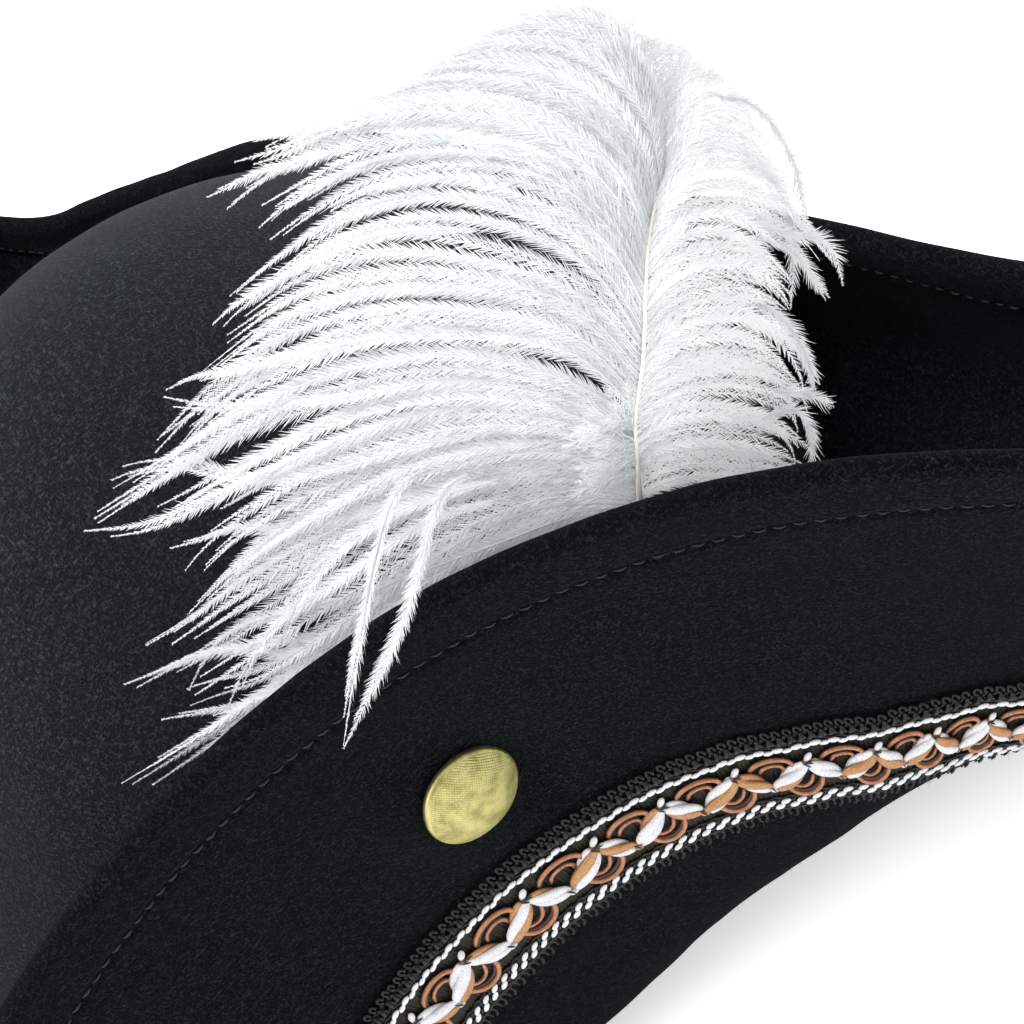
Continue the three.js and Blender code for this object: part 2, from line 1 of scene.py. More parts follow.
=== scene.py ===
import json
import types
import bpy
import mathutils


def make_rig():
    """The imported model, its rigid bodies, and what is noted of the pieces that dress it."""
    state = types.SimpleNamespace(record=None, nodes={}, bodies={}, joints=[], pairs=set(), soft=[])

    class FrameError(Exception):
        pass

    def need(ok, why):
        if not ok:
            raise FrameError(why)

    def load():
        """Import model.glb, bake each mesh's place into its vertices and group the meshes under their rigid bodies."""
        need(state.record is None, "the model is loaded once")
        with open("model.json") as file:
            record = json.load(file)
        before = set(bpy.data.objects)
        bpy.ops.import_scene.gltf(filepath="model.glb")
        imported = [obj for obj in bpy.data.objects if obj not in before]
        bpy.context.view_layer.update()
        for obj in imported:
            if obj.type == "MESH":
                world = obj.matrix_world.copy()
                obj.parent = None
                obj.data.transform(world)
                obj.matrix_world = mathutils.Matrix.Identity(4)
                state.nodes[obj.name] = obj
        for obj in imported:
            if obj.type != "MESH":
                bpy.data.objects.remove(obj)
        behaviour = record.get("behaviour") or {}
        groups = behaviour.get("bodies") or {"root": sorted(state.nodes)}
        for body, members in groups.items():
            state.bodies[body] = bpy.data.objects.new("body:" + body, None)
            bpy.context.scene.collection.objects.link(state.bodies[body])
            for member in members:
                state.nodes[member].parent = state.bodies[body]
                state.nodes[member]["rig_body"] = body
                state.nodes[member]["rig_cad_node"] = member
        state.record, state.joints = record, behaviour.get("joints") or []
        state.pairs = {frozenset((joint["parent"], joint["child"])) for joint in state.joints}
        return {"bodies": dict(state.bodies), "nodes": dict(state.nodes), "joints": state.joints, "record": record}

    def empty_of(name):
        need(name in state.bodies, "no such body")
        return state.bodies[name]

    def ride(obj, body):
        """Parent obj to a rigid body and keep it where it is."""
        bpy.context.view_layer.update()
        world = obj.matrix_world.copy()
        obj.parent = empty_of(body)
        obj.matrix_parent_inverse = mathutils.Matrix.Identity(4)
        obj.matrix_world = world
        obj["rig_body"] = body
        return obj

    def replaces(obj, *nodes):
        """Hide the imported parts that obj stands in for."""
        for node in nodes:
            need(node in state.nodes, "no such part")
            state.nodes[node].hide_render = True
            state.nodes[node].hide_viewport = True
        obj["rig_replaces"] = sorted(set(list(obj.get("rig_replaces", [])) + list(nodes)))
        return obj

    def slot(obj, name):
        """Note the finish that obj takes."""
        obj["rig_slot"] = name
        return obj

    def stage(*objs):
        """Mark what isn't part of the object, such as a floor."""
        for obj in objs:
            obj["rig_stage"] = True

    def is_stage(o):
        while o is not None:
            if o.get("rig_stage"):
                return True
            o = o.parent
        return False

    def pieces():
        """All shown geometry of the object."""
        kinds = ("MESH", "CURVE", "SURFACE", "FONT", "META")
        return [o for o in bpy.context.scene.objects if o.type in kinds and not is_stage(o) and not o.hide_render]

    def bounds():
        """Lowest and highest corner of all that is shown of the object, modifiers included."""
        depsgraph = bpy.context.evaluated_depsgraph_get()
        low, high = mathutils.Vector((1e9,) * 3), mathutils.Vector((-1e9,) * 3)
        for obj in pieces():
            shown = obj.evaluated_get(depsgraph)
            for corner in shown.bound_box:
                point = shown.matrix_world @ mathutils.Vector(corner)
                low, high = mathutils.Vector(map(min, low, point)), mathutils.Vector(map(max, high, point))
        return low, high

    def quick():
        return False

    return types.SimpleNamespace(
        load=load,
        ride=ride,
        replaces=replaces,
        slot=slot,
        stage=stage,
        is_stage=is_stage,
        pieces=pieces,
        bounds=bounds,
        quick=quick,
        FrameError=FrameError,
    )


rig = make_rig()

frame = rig.load()

import json
import math
import bpy
import bmesh
import numpy as np
from mathutils import Matrix, Vector

CAD_LO, CAD_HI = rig.bounds()
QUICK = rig.quick()
RNG = np.random.default_rng(20417)

# ------------------------------------------------------------------ constants
ORIGIN = np.array([-21.62, 26.36, -7.55])   # same shift as the CAD
FELT = 2.8
HALF = FELT / 2
AXIS = math.radians(24)
CROWN_A, CROWN_B, CROWN_H = 98.2, 84.6, 133.0
CROWN_WALL, CROWN_POW, CROWN_BACK, CROWN_LEAN = 39.0, 1.85, -3.2, 7.0
HEM = 13.8
BUTTONS = {"near": (7.33, 44.8), "left": (34.75, 44.8), "back": (21.0, 25.5)}
PITCH = 12.8                                 # length of one braid motif

NET = np.array([
    [-200.9, -88.6, -5.4, -204.7, -91.3, -0.5, -208.4, -94.0, 4.3],
    [-142.6, -96.1, -4.3, -165.2, -97.7, 9.7, -187.9, -99.4, 23.8],
    [-102.6, -97.2, -2.7, -132.8, -98.1, 22.9, -163.1, -98.8, 48.6],
    [-73.4, -95.0, -1.1, -105.3, -95.7, 34.6, -137.2, -96.1, 70.2],
    [-50.0, -93.2, 0.9, -79.1, -93.4, 44.7, -108.0, -93.4, 88.6],
    [-30.6, -93.1, 2.8, -54.8, -92.7, 52.8, -78.8, -92.1, 102.8],
    [-13.6, -95.0, 4.8, -30.5, -96.1, 59.9, -47.3, -97.3, 115.1],
    [2.1, -98.1, 6.8, -6.2, -100.5, 64.6, -14.3, -103.0, 122.3],
    [17.6, -101.6, 8.9, 18.3, -106.5, 66.4, 18.9, -111.6, 123.9],
    [33.8, -106.4, 10.9, 42.4, -114.5, 65.3, 50.7, -123.7, 119.7],
    [51.3, -112.8, 13.2, 66.1, -124.6, 61.7, 79.8, -138.5, 110.1],
    [71.2, -121.8, 15.6, 89.2, -137.2, 55.4, 105.8, -154.7, 94.9],
    [90.7, -133.4, 16.7, 108.5, -148.0, 48.0, 125.3, -164.2, 78.8],
    [115.6, -145.8, 17.3, 130.5, -156.2, 36.8, 144.7, -167.4, 56.2],
    [139.3, -153.4, 17.8, 148.6, -159.3, 28.4, 157.7, -165.8, 38.9],
    [157.7, -156.6, 18.4, 161.5, -159.3, 23.8, 165.2, -162.0, 29.2],
    [148.5, -129.0, 16.2, 151.5, -127.5, 26.5, 153.4, -126.8, 36.7],
    [140.2, -97.2, 11.9, 143.4, -95.8, 31.9, 144.2, -95.4, 51.8],
    [130.8, -60.0, 6.5, 131.1, -59.8, 29.1, 128.7, -60.9, 51.6],
    [119.3, -23.8, 2.2, 117.1, -24.7, 30.3, 111.5, -27.2, 58.5],
    [105.9, 11.7, 0.0, 102.2, 10.0, 30.8, 94.6, 6.6, 61.7],
    [89.3, 51.6, -1.1, 84.9, 49.6, 32.7, 76.5, 45.9, 66.5],
    [72.0, 85.2, 0.0, 68.6, 83.7, 32.7, 61.1, 80.5, 65.4],
    [52.7, 118.0, 2.2, 51.1, 117.3, 28.3, 46.2, 115.1, 54.3],
    [34.6, 145.5, 5.4, 34.2, 145.3, 23.5, 31.6, 144.1, 41.7],
    [16.4, 172.8, 8.6, 16.1, 172.7, 19.8, 14.5, 171.9, 30.9],
    [1.4, 193.3, 10.8, 1.2, 193.2, 15.7, 0.4, 192.9, 20.5],
    [-11.3, 211.4, 11.9, -11.7, 214.7, 16.7, -12.0, 218.1, 21.6],
    [-16.8, 197.3, 11.3, -15.0, 208.2, 21.9, -13.7, 219.2, 32.4],
    [-27.2, 175.0, 11.1, -24.9, 193.0, 30.7, -23.8, 211.1, 50.0],
    [-35.2, 149.4, 11.4, -34.0, 172.4, 42.6, -34.9, 195.6, 73.5],
    [-40.4, 128.7, 11.3, -39.6, 152.3, 51.2, -41.5, 176.4, 90.8],
    [-47.7, 109.7, 10.4, -46.7, 128.7, 59.0, -47.7, 148.2, 107.2],
    [-55.6, 94.3, 9.6, -55.8, 106.2, 64.0, -57.1, 118.5, 118.3],
    [-63.5, 80.6, 8.5, -66.6, 84.3, 66.0, -70.1, 88.1, 123.4],
    [-71.5, 67.2, 6.8, -78.8, 62.7, 64.6, -86.2, 58.3, 122.3],
    [-79.7, 53.5, 4.8, -91.8, 41.7, 59.9, -104.0, 30.0, 115.1],
    [-89.6, 39.5, 2.8, -105.5, 21.4, 52.8, -121.2, 3.0, 102.8],
    [-102.7, 25.2, 0.9, -122.4, 3.8, 44.7, -141.7, -17.7, 88.6],
    [-119.8, 9.0, -1.1, -141.6, -14.3, 34.6, -163.2, -37.6, 70.2],
    [-140.9, -11.2, -2.7, -161.7, -33.2, 22.9, -182.5, -55.1, 48.6],
    [-166.9, -41.6, -4.3, -183.2, -57.3, 9.7, -199.6, -73.1, 23.8],
])

# ------------------------------------------------------------------ hat surface
NCOL = len(NET)


def unit(v):
    v = np.asarray(v, float)
    return v / np.maximum(np.linalg.norm(v, axis=-1, keepdims=True), 1e-12)


def catmull_closed(A, u):
    u = np.asarray(u, float) % len(A)
    i = np.floor(u).astype(int)
    t = (u - i)[:, None]
    a, b, c, d = (A[(i + k) % len(A)] for k in (-1, 0, 1, 2))
    return 0.5 * (2 * b + (c - a) * t + (2 * a - 5 * b + 4 * c - d) * t * t + (3 * b - a - 3 * c + d) * t ** 3)


def catmull_open(A, t):
    """t 0..1 along the points A (n, k)."""
    A = np.asarray(A, float)
    n = len(A) - 1
    x = np.clip(np.asarray(t, float), 0, 1) * n
    i = np.minimum(np.floor(x).astype(int), n - 1)
    f = (x - i).reshape(-1, *([1] * (A.ndim - 1)))
    a, b, c, d = (A[np.clip(i + k, 0, n)] for k in (-1, 0, 1, 2))
    return 0.5 * (2 * b + (c - a) * f + (2 * a - 5 * b + 4 * c - d) * f * f + (3 * b - a - 3 * c + d) * f ** 3)


def along(x, y):
    return np.stack([math.cos(AXIS) * x - math.sin(AXIS) * y, math.sin(AXIS) * x + math.cos(AXIS) * y], -1)


def crown_point(direction, s, grow=0.0, z=0.0):
    direction, s, z = np.broadcast_arrays(np.asarray(direction, float), np.asarray(s, float), np.asarray(z, float))
    c, q = np.cos(direction - AXIS), np.sin(direction - AXIS)
    r = 1 / np.hypot(c / (CROWN_A * s + grow), q / (CROWN_B * s + grow))
    o = along(CROWN_BACK - CROWN_LEAN * z / CROWN_H, np.zeros_like(z))
    return np.stack([o[..., 0] + r * np.cos(direction), o[..., 1] + r * np.sin(direction), z], -1)


SUB = 16                                     # grid stations per net column
WSTEP, WSPAN, NREST = 1.25, 60.0, 72
NW0 = int(WSPAN / WSTEP)


def build_grid():
    u = np.arange(NCOL * SUB) / SUB
    F, M, E = (catmull_closed(NET[:, k:k + 3], u) for k in (0, 3, 6))
    c = along(CROWN_BACK, 0.0)
    direction = np.arctan2(F[:, 1] - c[1], F[:, 0] - c[0])
    C0 = crown_point(direction, 1.0, -FELT)
    C1 = crown_point(direction, 1.0, 0.8)
    K = 2 * M - 0.5 * (F + E)
    web = np.linalg.norm(F - C1, axis=1)
    pan = np.linalg.norm(E - F, axis=1)
    cut = np.minimum(np.minimum(10, 0.48 * web), 0.7 * pan)
    tc = np.minimum(0.9, cut / pan)

    def bez(a, b, d, t):
        t = t[..., None]
        return a * (1 - t) ** 2 + b * 2 * t * (1 - t) + d * t * t

    pts = []
    for k in range(49):
        pts.append(bez(E, K, F, (1 - tc) * k / 48))
    A = pts[-1]
    B = F + unit(C1 - F) * cut[:, None]
    for k in range(1, 25):
        pts.append(bez(A, F, B, np.full(len(u), k / 24)))
    for k in range(1, 13):
        pts.append(B + (C1 - B) * k / 12)
    pts.append(C0)
    P = np.stack(pts, 1)
    W = np.concatenate([np.zeros((len(u), 1)), np.cumsum(np.linalg.norm(np.diff(P, axis=1), axis=2), 1)], 1)
    total = W[:, -1]
    w = np.concatenate([np.broadcast_to(np.arange(NW0) * WSTEP, (len(u), NW0)),
                        WSPAN + (total[:, None] - WSPAN) * np.linspace(0, 1, NREST + 1)[None]], 1)
    G = np.empty((len(u), w.shape[1], 3))
    for i in range(len(u)):
        for k in range(3):
            G[i, :, k] = np.interp(w[i], W[i], P[i, :, k])
    for _ in range(3):                        # take the small kinks out of the fold
        G[:, 1:-1] = 0.25 * G[:, :-2] + 0.5 * G[:, 1:-1] + 0.25 * G[:, 2:]
    for _ in range(24):
        G = 0.25 * np.roll(G, 1, 0) + 0.5 * G + 0.25 * np.roll(G, -1, 0)
    soft = G.copy()
    for _ in range(150):
        soft = 0.25 * np.roll(soft, 1, 0) + 0.5 * soft + 0.25 * np.roll(soft, -1, 0)
    calm = np.clip((u - 3.2) / 2.0, 0, 1) * np.clip((12.8 - u) / 2.0, 0, 1)
    calm = (calm * calm * (3 - 2 * calm))[:, None, None]
    G = G * (1 - calm) + soft * calm
    # the far rim stands a little higher near its left point
    G[..., 2] += 3.2 * np.exp(-((u - 26.2) / 0.85) ** 2)[:, None] * np.clip(1 - w / 34.0, 0, 1) ** 1.5
    ru = np.roll(G, -5, 0) - np.roll(G, 5, 0)
    rw = np.empty_like(G)
    rw[:, 2:-2] = G[:, 4:] - G[:, :-4]
    rw[:, :2] = (G[:, 2] - G[:, 0])[:, None]
    rw[:, -2:] = (G[:, -1] - G[:, -3])[:, None]
    N = -unit(np.cross(ru, rw))
    for _ in range(3):
        N[:, 1:-1] = 0.25 * N[:, :-2] + 0.5 * N[:, 1:-1] + 0.25 * N[:, 2:]
    return G, unit(N), total


GRID, NORM, TOTAL = build_grid()


def total_at(u):
    x = np.asarray(u, float) % NCOL * SUB
    i = np.floor(x).astype(int)
    f = x - i
    return TOTAL[i % len(TOTAL)] * (1 - f) + TOTAL[(i + 1) % len(TOTAL)] * f


def surf(u, w, d):
    """Point on the brim: column u, distance w from the edge, offset d outwards (mm)."""
    u, w, d = np.broadcast_arrays(np.asarray(u, float), np.asarray(w, float), np.asarray(d, float))
    x = (u % NCOL) * SUB
    i = np.floor(x).astype(int)
    f = (x - i)[..., None]
    tot = total_at(u)
    wc = np.clip(w, 0, tot)
    y = np.where(wc <= WSPAN, wc / WSTEP, NW0 + (wc - WSPAN) / np.maximum(tot - WSPAN, 1e-6) * NREST)
    y = np.clip(y, 0, GRID.shape[1] - 1.000001)
    j = np.floor(y).astype(int)
    g = (y - j)[..., None]
    i0, i1 = i % len(GRID), (i + 1) % len(GRID)

    def pick(A):
        return (A[i0, j] * (1 - f) + A[i1, j] * f) * (1 - g) + (A[i0, j + 1] * (1 - f) + A[i1, j + 1] * f) * g

    P, N = pick(GRID), unit(pick(NORM))
    over = (w - wc)[..., None]
    if np.any(over != 0):
        out = unit(GRID[i0, 0] - GRID[i0, 2])
        P = P - over * out * (over < 0)
    return P + N * d[..., None]


_fine = np.linspace(0, NCOL, NCOL * 24 + 1)
_line = surf(_fine, 83.0, HALF)
_arc = np.concatenate([[0], np.cumsum(np.linalg.norm(np.diff(_line, axis=0), axis=1))])
ARC = _arc[-1]


def u_at(s):
    """Column at arc length s (mm) along the braid's middle line."""
    return np.interp(np.asarray(s, float) % ARC, _arc, _fine)


def s_at(u):
    return np.interp(np.asarray(u, float) % NCOL, _fine, _arc)


# ------------------------------------------------------------------ mesh makers
SEWN = [(4, 0), (5.3, 1.5), (6.26, 2.6), (6.97, 3.6), (8.26, 4), (8.86, 3), (9.42, 0.4), (9.97, -1.8), (10.45, -0.4), (10.89, 2.2), (12.5, 0)]


def shift_braid(u):
    def sm(x):
        t = np.clip(x, 0, 1)
        return t * t * (3 - 2 * t)
    u = np.asarray(u, float) % NCOL
    wander = np.zeros_like(u)
    for (a, p), (b, q) in zip(SEWN[:-1], SEWN[1:]):
        wander = np.where((u >= a) & (u < b), p + (q - p) * sm((u - a) / (b - a)), wander)
    return 2.0 + wander + 31.0 * sm((u - 15) / 3.5) * (1 - sm((u - 24) / 3.5))


_line = surf(_fine, 83.0 - shift_braid(_fine), HALF)
_arc = np.concatenate([[0], np.cumsum(np.linalg.norm(np.diff(_line, axis=0), axis=1))])
ARC = _arc[-1]


def braid(s, w, d):
    """Point on the braid: arc length s, distance w as in the CAD rows, height d above the felt."""
    u = np.interp(np.asarray(s, float) % ARC, _arc, _fine)
    return surf(u, np.asarray(w, float) - shift_braid(u), HALF + np.asarray(d, float))


def make_mesh(name, verts, faces, body="hat", mat=None, smooth=True, colors=None, slot=None, replaces=()):
    """verts in CAD millimetres (before the origin shift)."""
    me = bpy.data.meshes.new(name)
    v = (np.asarray(verts, float) - ORIGIN) / 1000.0
    f = np.asarray(faces)
    if smooth:                                # outward winding
        a, b, c = v[f[:, 0]], v[f[:, 1]], v[f[:, 2]]
        d = v[f[:, -1]]
        if np.sum(np.cross(b - a, c - a) * (a + c)) + np.sum(np.cross(c - a, d - a) * (a + c)) < 0:
            f = f[:, ::-1]
    me.vertices.add(len(v))
    me.vertices.foreach_set("co", v.astype(np.float32).ravel())
    n, k = f.shape
    me.loops.add(n * k)
    me.loops.foreach_set("vertex_index", f.astype(np.int32).ravel())
    me.polygons.add(n)
    me.polygons.foreach_set("loop_start", (np.arange(n) * k).astype(np.int32))
    me.update(calc_edges=True)
    me.validate()
    if smooth:
        me.polygons.foreach_set("use_smooth", np.ones(len(me.polygons), bool))
    if colors is not None:
        for key, val in colors.items():
            a = me.attributes.new(key, "FLOAT", "POINT")
            a.data.foreach_set("value", np.asarray(val, np.float32))
    ob = bpy.data.objects.new(name, me)
    bpy.context.scene.collection.objects.link(ob)
    if mat is not None:
        me.materials.append(mat)
    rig.ride(ob, body)
    if slot:
        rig.slot(ob, slot)
    if replaces:
        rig.replaces(ob, *replaces)
    return ob


def grid_faces(n, m, close_n=False, close_m=True, base=0):
    """Quads of a grid of n sections with m points each."""
    i = np.arange(n if close_n else n - 1)
    j = np.arange(m if close_m else m - 1)
    I, J = np.meshgrid(i, j, indexing="ij")
    I2, J2 = (I + 1) % n, (J + 1) % m
    return base + np.stack([I * m + J, I2 * m + J, I2 * m + J2, I * m + J2], -1).reshape(-1, 4)


def cap_faces(n, m, base=0):
    """Quad strips closing both ends of a tube of n sections (m even)."""
    out = []
    for row, flip in ((0, False), (n - 1, True)):
        for k in range(m // 2 - 1):
            q = [row * m + k, row * m + k + 1, row * m + m - 2 - k, row * m + m - 1 - k]
            out.append(q if not flip else q[::-1])
    return base + np.array(out)


def flat_tube(path, ra, rb=None, m=8, twist=0.0, taper=None):
    """Closed tube in the braid's flat (s, w, d) space along path (n, 3): ra across, rb high."""
    P = np.asarray(path, float)
    n = len(P)
    rb = ra if rb is None else rb
    T = unit(np.gradient(P, axis=0))
    up = np.array([0, 0, 1.0])
    side = unit(np.cross(np.broadcast_to(up, T.shape), T))
    top = np.cross(T, side)
    k = np.ones(n) if taper is None else taper
    a = np.linspace(0, 2 * np.pi, m, endpoint=False)
    ca, sa = np.cos(a)[None, :, None], np.sin(a)[None, :, None]
    ra_ = (np.asarray(ra) * k).reshape(-1, 1, 1)
    rb_ = (np.asarray(rb) * k).reshape(-1, 1, 1)
    V = P[:, None] + side[:, None] * ca * ra_ + top[:, None] * sa * rb_
    F = np.concatenate([grid_faces(n, m), cap_faces(n, m)])
    return V.reshape(-1, 3), F


class Bag:
    """Collects vertices, faces and per-vertex values of many small solids."""

    def __init__(self):
        self.v, self.f, self.c, self.n = [], [], [], 0

    def add(self, v, f, **vals):
        self.v.append(np.asarray(v, float))
        self.f.append(np.asarray(f) + self.n)
        self.c.append({k: np.broadcast_to(np.asarray(x, float), (len(v),)) for k, x in vals.items()})
        self.n += len(v)

    def arrays(self):
        keys = self.c[0].keys() if self.c else ()
        return np.concatenate(self.v), np.concatenate(self.f), {k: np.concatenate([c[k] for c in self.c]) for k in keys}


def motif_ends():
    """Arc lengths where the hand-sewn motifs begin; they are closer together on the right of the near panel."""
    known = [float(s_at(u)) for u in (6.26, 6.97, 7.66, 8.26, 8.86, 9.42, 9.97, 10.45, 10.89)]
    left = [known[0]]
    for gap in (14.8, 14.2, 13.6, 13.2):
        left.insert(0, left[0] - gap)
    right = [known[-1]]
    for gap in (9.8, 10.6, 11.4, 12.2):
        right.append(right[-1] + gap)
    mid = left + known[1:-1] + right
    rest = ARC - (mid[-1] - mid[0])
    n = int(round(rest / PITCH))
    return np.array(mid + [mid[-1] + rest * (k + 1) / n for k in range(n)])


def s_at(u):
    return np.interp(np.asarray(u, float) % NCOL, _fine, _arc)


MOTIF = motif_ends()


def tile(bag, pitch, start, jitter=0.0, span=None):
    """Repeats a flat motif all round the braid and bends it onto the felt."""
    V, F, C = bag.arrays()
    L = ARC if span is None else span
    n = int(round(L / pitch)) if pitch != PITCH else len(MOTIF) - 1
    step = L / n
    out_v, out_f, out_c = [], [], {k: [] for k in C}
    for i in range(n):
        W = V.copy()
        if pitch == PITCH:
            W[:, 0] = W[:, 0] * ((MOTIF[i + 1] - MOTIF[i]) / pitch) + MOTIF[i]
        else:
            W[:, 0] = W[:, 0] * (step / pitch) + start + i * step
        if jitter:
            ph = RNG.uniform(-1, 1, 3) * jitter
            W = W + ph
        out_v.append(braid(W[:, 0], W[:, 1], W[:, 2]))
        out_f.append(F + i * len(V))
        for k in C:
            out_c[k].append(C[k] if k != "rnd" else np.full(len(V), RNG.uniform()))
    return np.concatenate(out_v), np.concatenate(out_f), {k: np.concatenate(x) for k, x in out_c.items()}


# ------------------------------------------------------------------ materials
class Nodes:
    def __init__(self, name):
        self.mat = bpy.data.materials.new(name)
        self.mat.use_nodes = True
        self.nt = self.mat.node_tree
        self.nt.nodes.clear()
        self.out = self.nt.nodes.new("ShaderNodeOutputMaterial")
        self.bsdf = self.nt.nodes.new("ShaderNodeBsdfPrincipled")
        self.nt.links.new(self.bsdf.outputs[0], self.out.inputs[0])
        self.co = self.nt.nodes.new("ShaderNodeTexCoord").outputs["Object"]

    def set(self, **kw):
        for k, v in kw.items():
            s = self.bsdf.inputs[k.replace("_", " ")]
            if hasattr(v, "is_linked") or isinstance(v, bpy.types.NodeSocket):
                self.nt.links.new(v, s)
            else:
                s.default_value = v
        return self

    def node(self, kind, **kw):
        n = self.nt.nodes.new(kind)
        for k, v in kw.items():
            if k.startswith("_"):
                setattr(n, k[1:], v)
            else:
                s = n.inputs[k.replace("_", " ")]
                if isinstance(v, bpy.types.NodeSocket):
                    self.nt.links.new(v, s)
                else:
                    s.default_value = v
        return n

    def noise(self, scale, detail=3.0, rough=0.5, vec=None, distortion=0.0):
        n = self.node("ShaderNodeTexNoise", Scale=scale, Detail=detail, Roughness=rough, Distortion=distortion)
        self.nt.links.new(vec if vec is not None else self.co, n.inputs["Vector"])
        return n.outputs["Fac"]

    def stretch(self, scale, rot=(0, 0, 0), vec=None):
        n = self.node("ShaderNodeMapping", Scale=scale, Rotation=rot)
        self.nt.links.new(vec if vec is not None else self.co, n.inputs["Vector"])
        return n.outputs[0]

    def ramp(self, fac, stops):
        n = self.nt.nodes.new("ShaderNodeValToRGB")
        e = n.color_ramp.elements
        while len(e) < len(stops):
            e.new(0.5)
        for el, (p, c) in zip(e, stops):
            el.position = p
            el.color = (c, c, c, 1) if isinstance(c, (int, float)) else (*c, 1)
        self.nt.links.new(fac, n.inputs[0])
        return n.outputs[0]

    def math(self, op, a, b=0.5, c=None):
        n = self.nt.nodes.new("ShaderNodeMath")
        n.operation = op
        for i, v in enumerate((a, b) if c is None else (a, b, c)):
            if isinstance(v, bpy.types.NodeSocket):
                self.nt.links.new(v, n.inputs[i])
            else:
                n.inputs[i].default_value = v
        return n.outputs[0]

    def mix(self, fac, a, b, blend="MIX"):
        n = self.nt.nodes.new("ShaderNodeMix")
        n.data_type = "RGBA"
        n.blend_type = blend
        for s, v in ((n.inputs[0], fac), (n.inputs[6], a), (n.inputs[7], b)):
            if isinstance(v, bpy.types.NodeSocket):
                self.nt.links.new(v, s)
            elif isinstance(v, tuple) and len(v) == 3:
                s.default_value = (*v, 1)
            else:
                s.default_value = v
        return n.outputs[2]

    def bump(self, height, strength=0.3, dist=0.0005, normal=None):
        n = self.node("ShaderNodeBump", Strength=strength, Distance=dist)
        self.nt.links.new(height, n.inputs["Height"])
        if normal is not None:
            self.nt.links.new(normal, n.inputs["Normal"])
        return n.outputs[0]

    def attr(self, name):
        n = self.nt.nodes.new("ShaderNodeAttribute")
        n.attribute_name = name
        return n.outputs["Fac"]


def felt_material(name, shade_tint=1.0, nap=1.0):
    m = Nodes(name)
    fine = m.noise(2400, 3, 0.65)
    f1 = m.noise(2300, 2, 0.6, m.stretch((1, 0.30, 0.6), (0.3, 0.4, 0.5)))
    f2 = m.noise(2300, 2, 0.6, m.stretch((0.30, 1, 0.7), (0.9, 0.2, 1.9)))
    f3 = m.noise(2100, 2, 0.6, m.stretch((0.7, 0.32, 1), (1.3, 1.1, 0.2)))
    fib = m.math("MAXIMUM", m.math("MAXIMUM", f1, f2), f3)
    soft = m.noise(28, 3, 0.5)
    flecks = m.ramp(fib, [(0.57, 0.0), (0.74, 1.0)])
    grit = m.ramp(fine, [(0.34, 0.0), (0.72, 1.0)])
    # The tint factor scales every felt colour; below 1 it paints shade into a darker copy of the felt.
    base = m.mix(grit, (0.0016 * shade_tint, 0.0022 * shade_tint, 0.0030 * shade_tint), (0.0100 * shade_tint, 0.0122 * shade_tint, 0.0148 * shade_tint))
    col = m.mix(m.math("MULTIPLY", flecks, 0.72), base, (0.052 * shade_tint, 0.060 * shade_tint, 0.067 * shade_tint))
    col = m.mix(m.ramp(soft, [(0.35, 0.0), (0.7, 0.30)]), col, (0.0085 * shade_tint, 0.0100 * shade_tint, 0.0115 * shade_tint))
    h = m.math("ADD", m.math("MULTIPLY", fib, 0.8), m.math("MULTIPLY", fine, 0.8))
    m.set(Base_Color=col, Roughness=0.95, Normal=m.bump(h, 0.9, 0.00055))
    m.set(Sheen_Weight=0.10 * nap, Sheen_Roughness=0.5, Sheen_Tint=(0.55, 0.64, 0.66, 1))
    m.bsdf.inputs["Specular IOR Level"].default_value = 0.08 * nap
    return m.mat


def cord_material(name, a, b, rough=0.5, sheen=0.15, scale=2200, spec=0.4, bump=0.25):
    """Twisted thread: two tones along fine crosswise noise."""
    m = Nodes(name)
    n1 = m.noise(scale, 3, 0.6)
    n2 = m.noise(scale * 0.18, 2, 0.5)
    col = m.mix(m.ramp(n1, [(0.3, 0.0), (0.7, 1.0)]), a, b)
    col = m.mix(m.ramp(n2, [(0.35, 0.0), (0.75, 0.5)]), col, a)
    m.set(Base_Color=col, Roughness=rough, Normal=m.bump(n1, bump, 0.00012), Sheen_Weight=sheen)
    m.bsdf.inputs["Specular IOR Level"].default_value = spec
    return m.mat


def nap_material():
    m = Nodes("felt_nap")
    col = m.ramp(m.noise(900, 1), [(0.35, 0.006), (0.68, 0.060)])
    m.set(Base_Color=m.mix(0.5, col, (0.016, 0.020, 0.023)), Roughness=0.9)
    m.bsdf.inputs["Specular IOR Level"].default_value = 0.1
    return m.mat


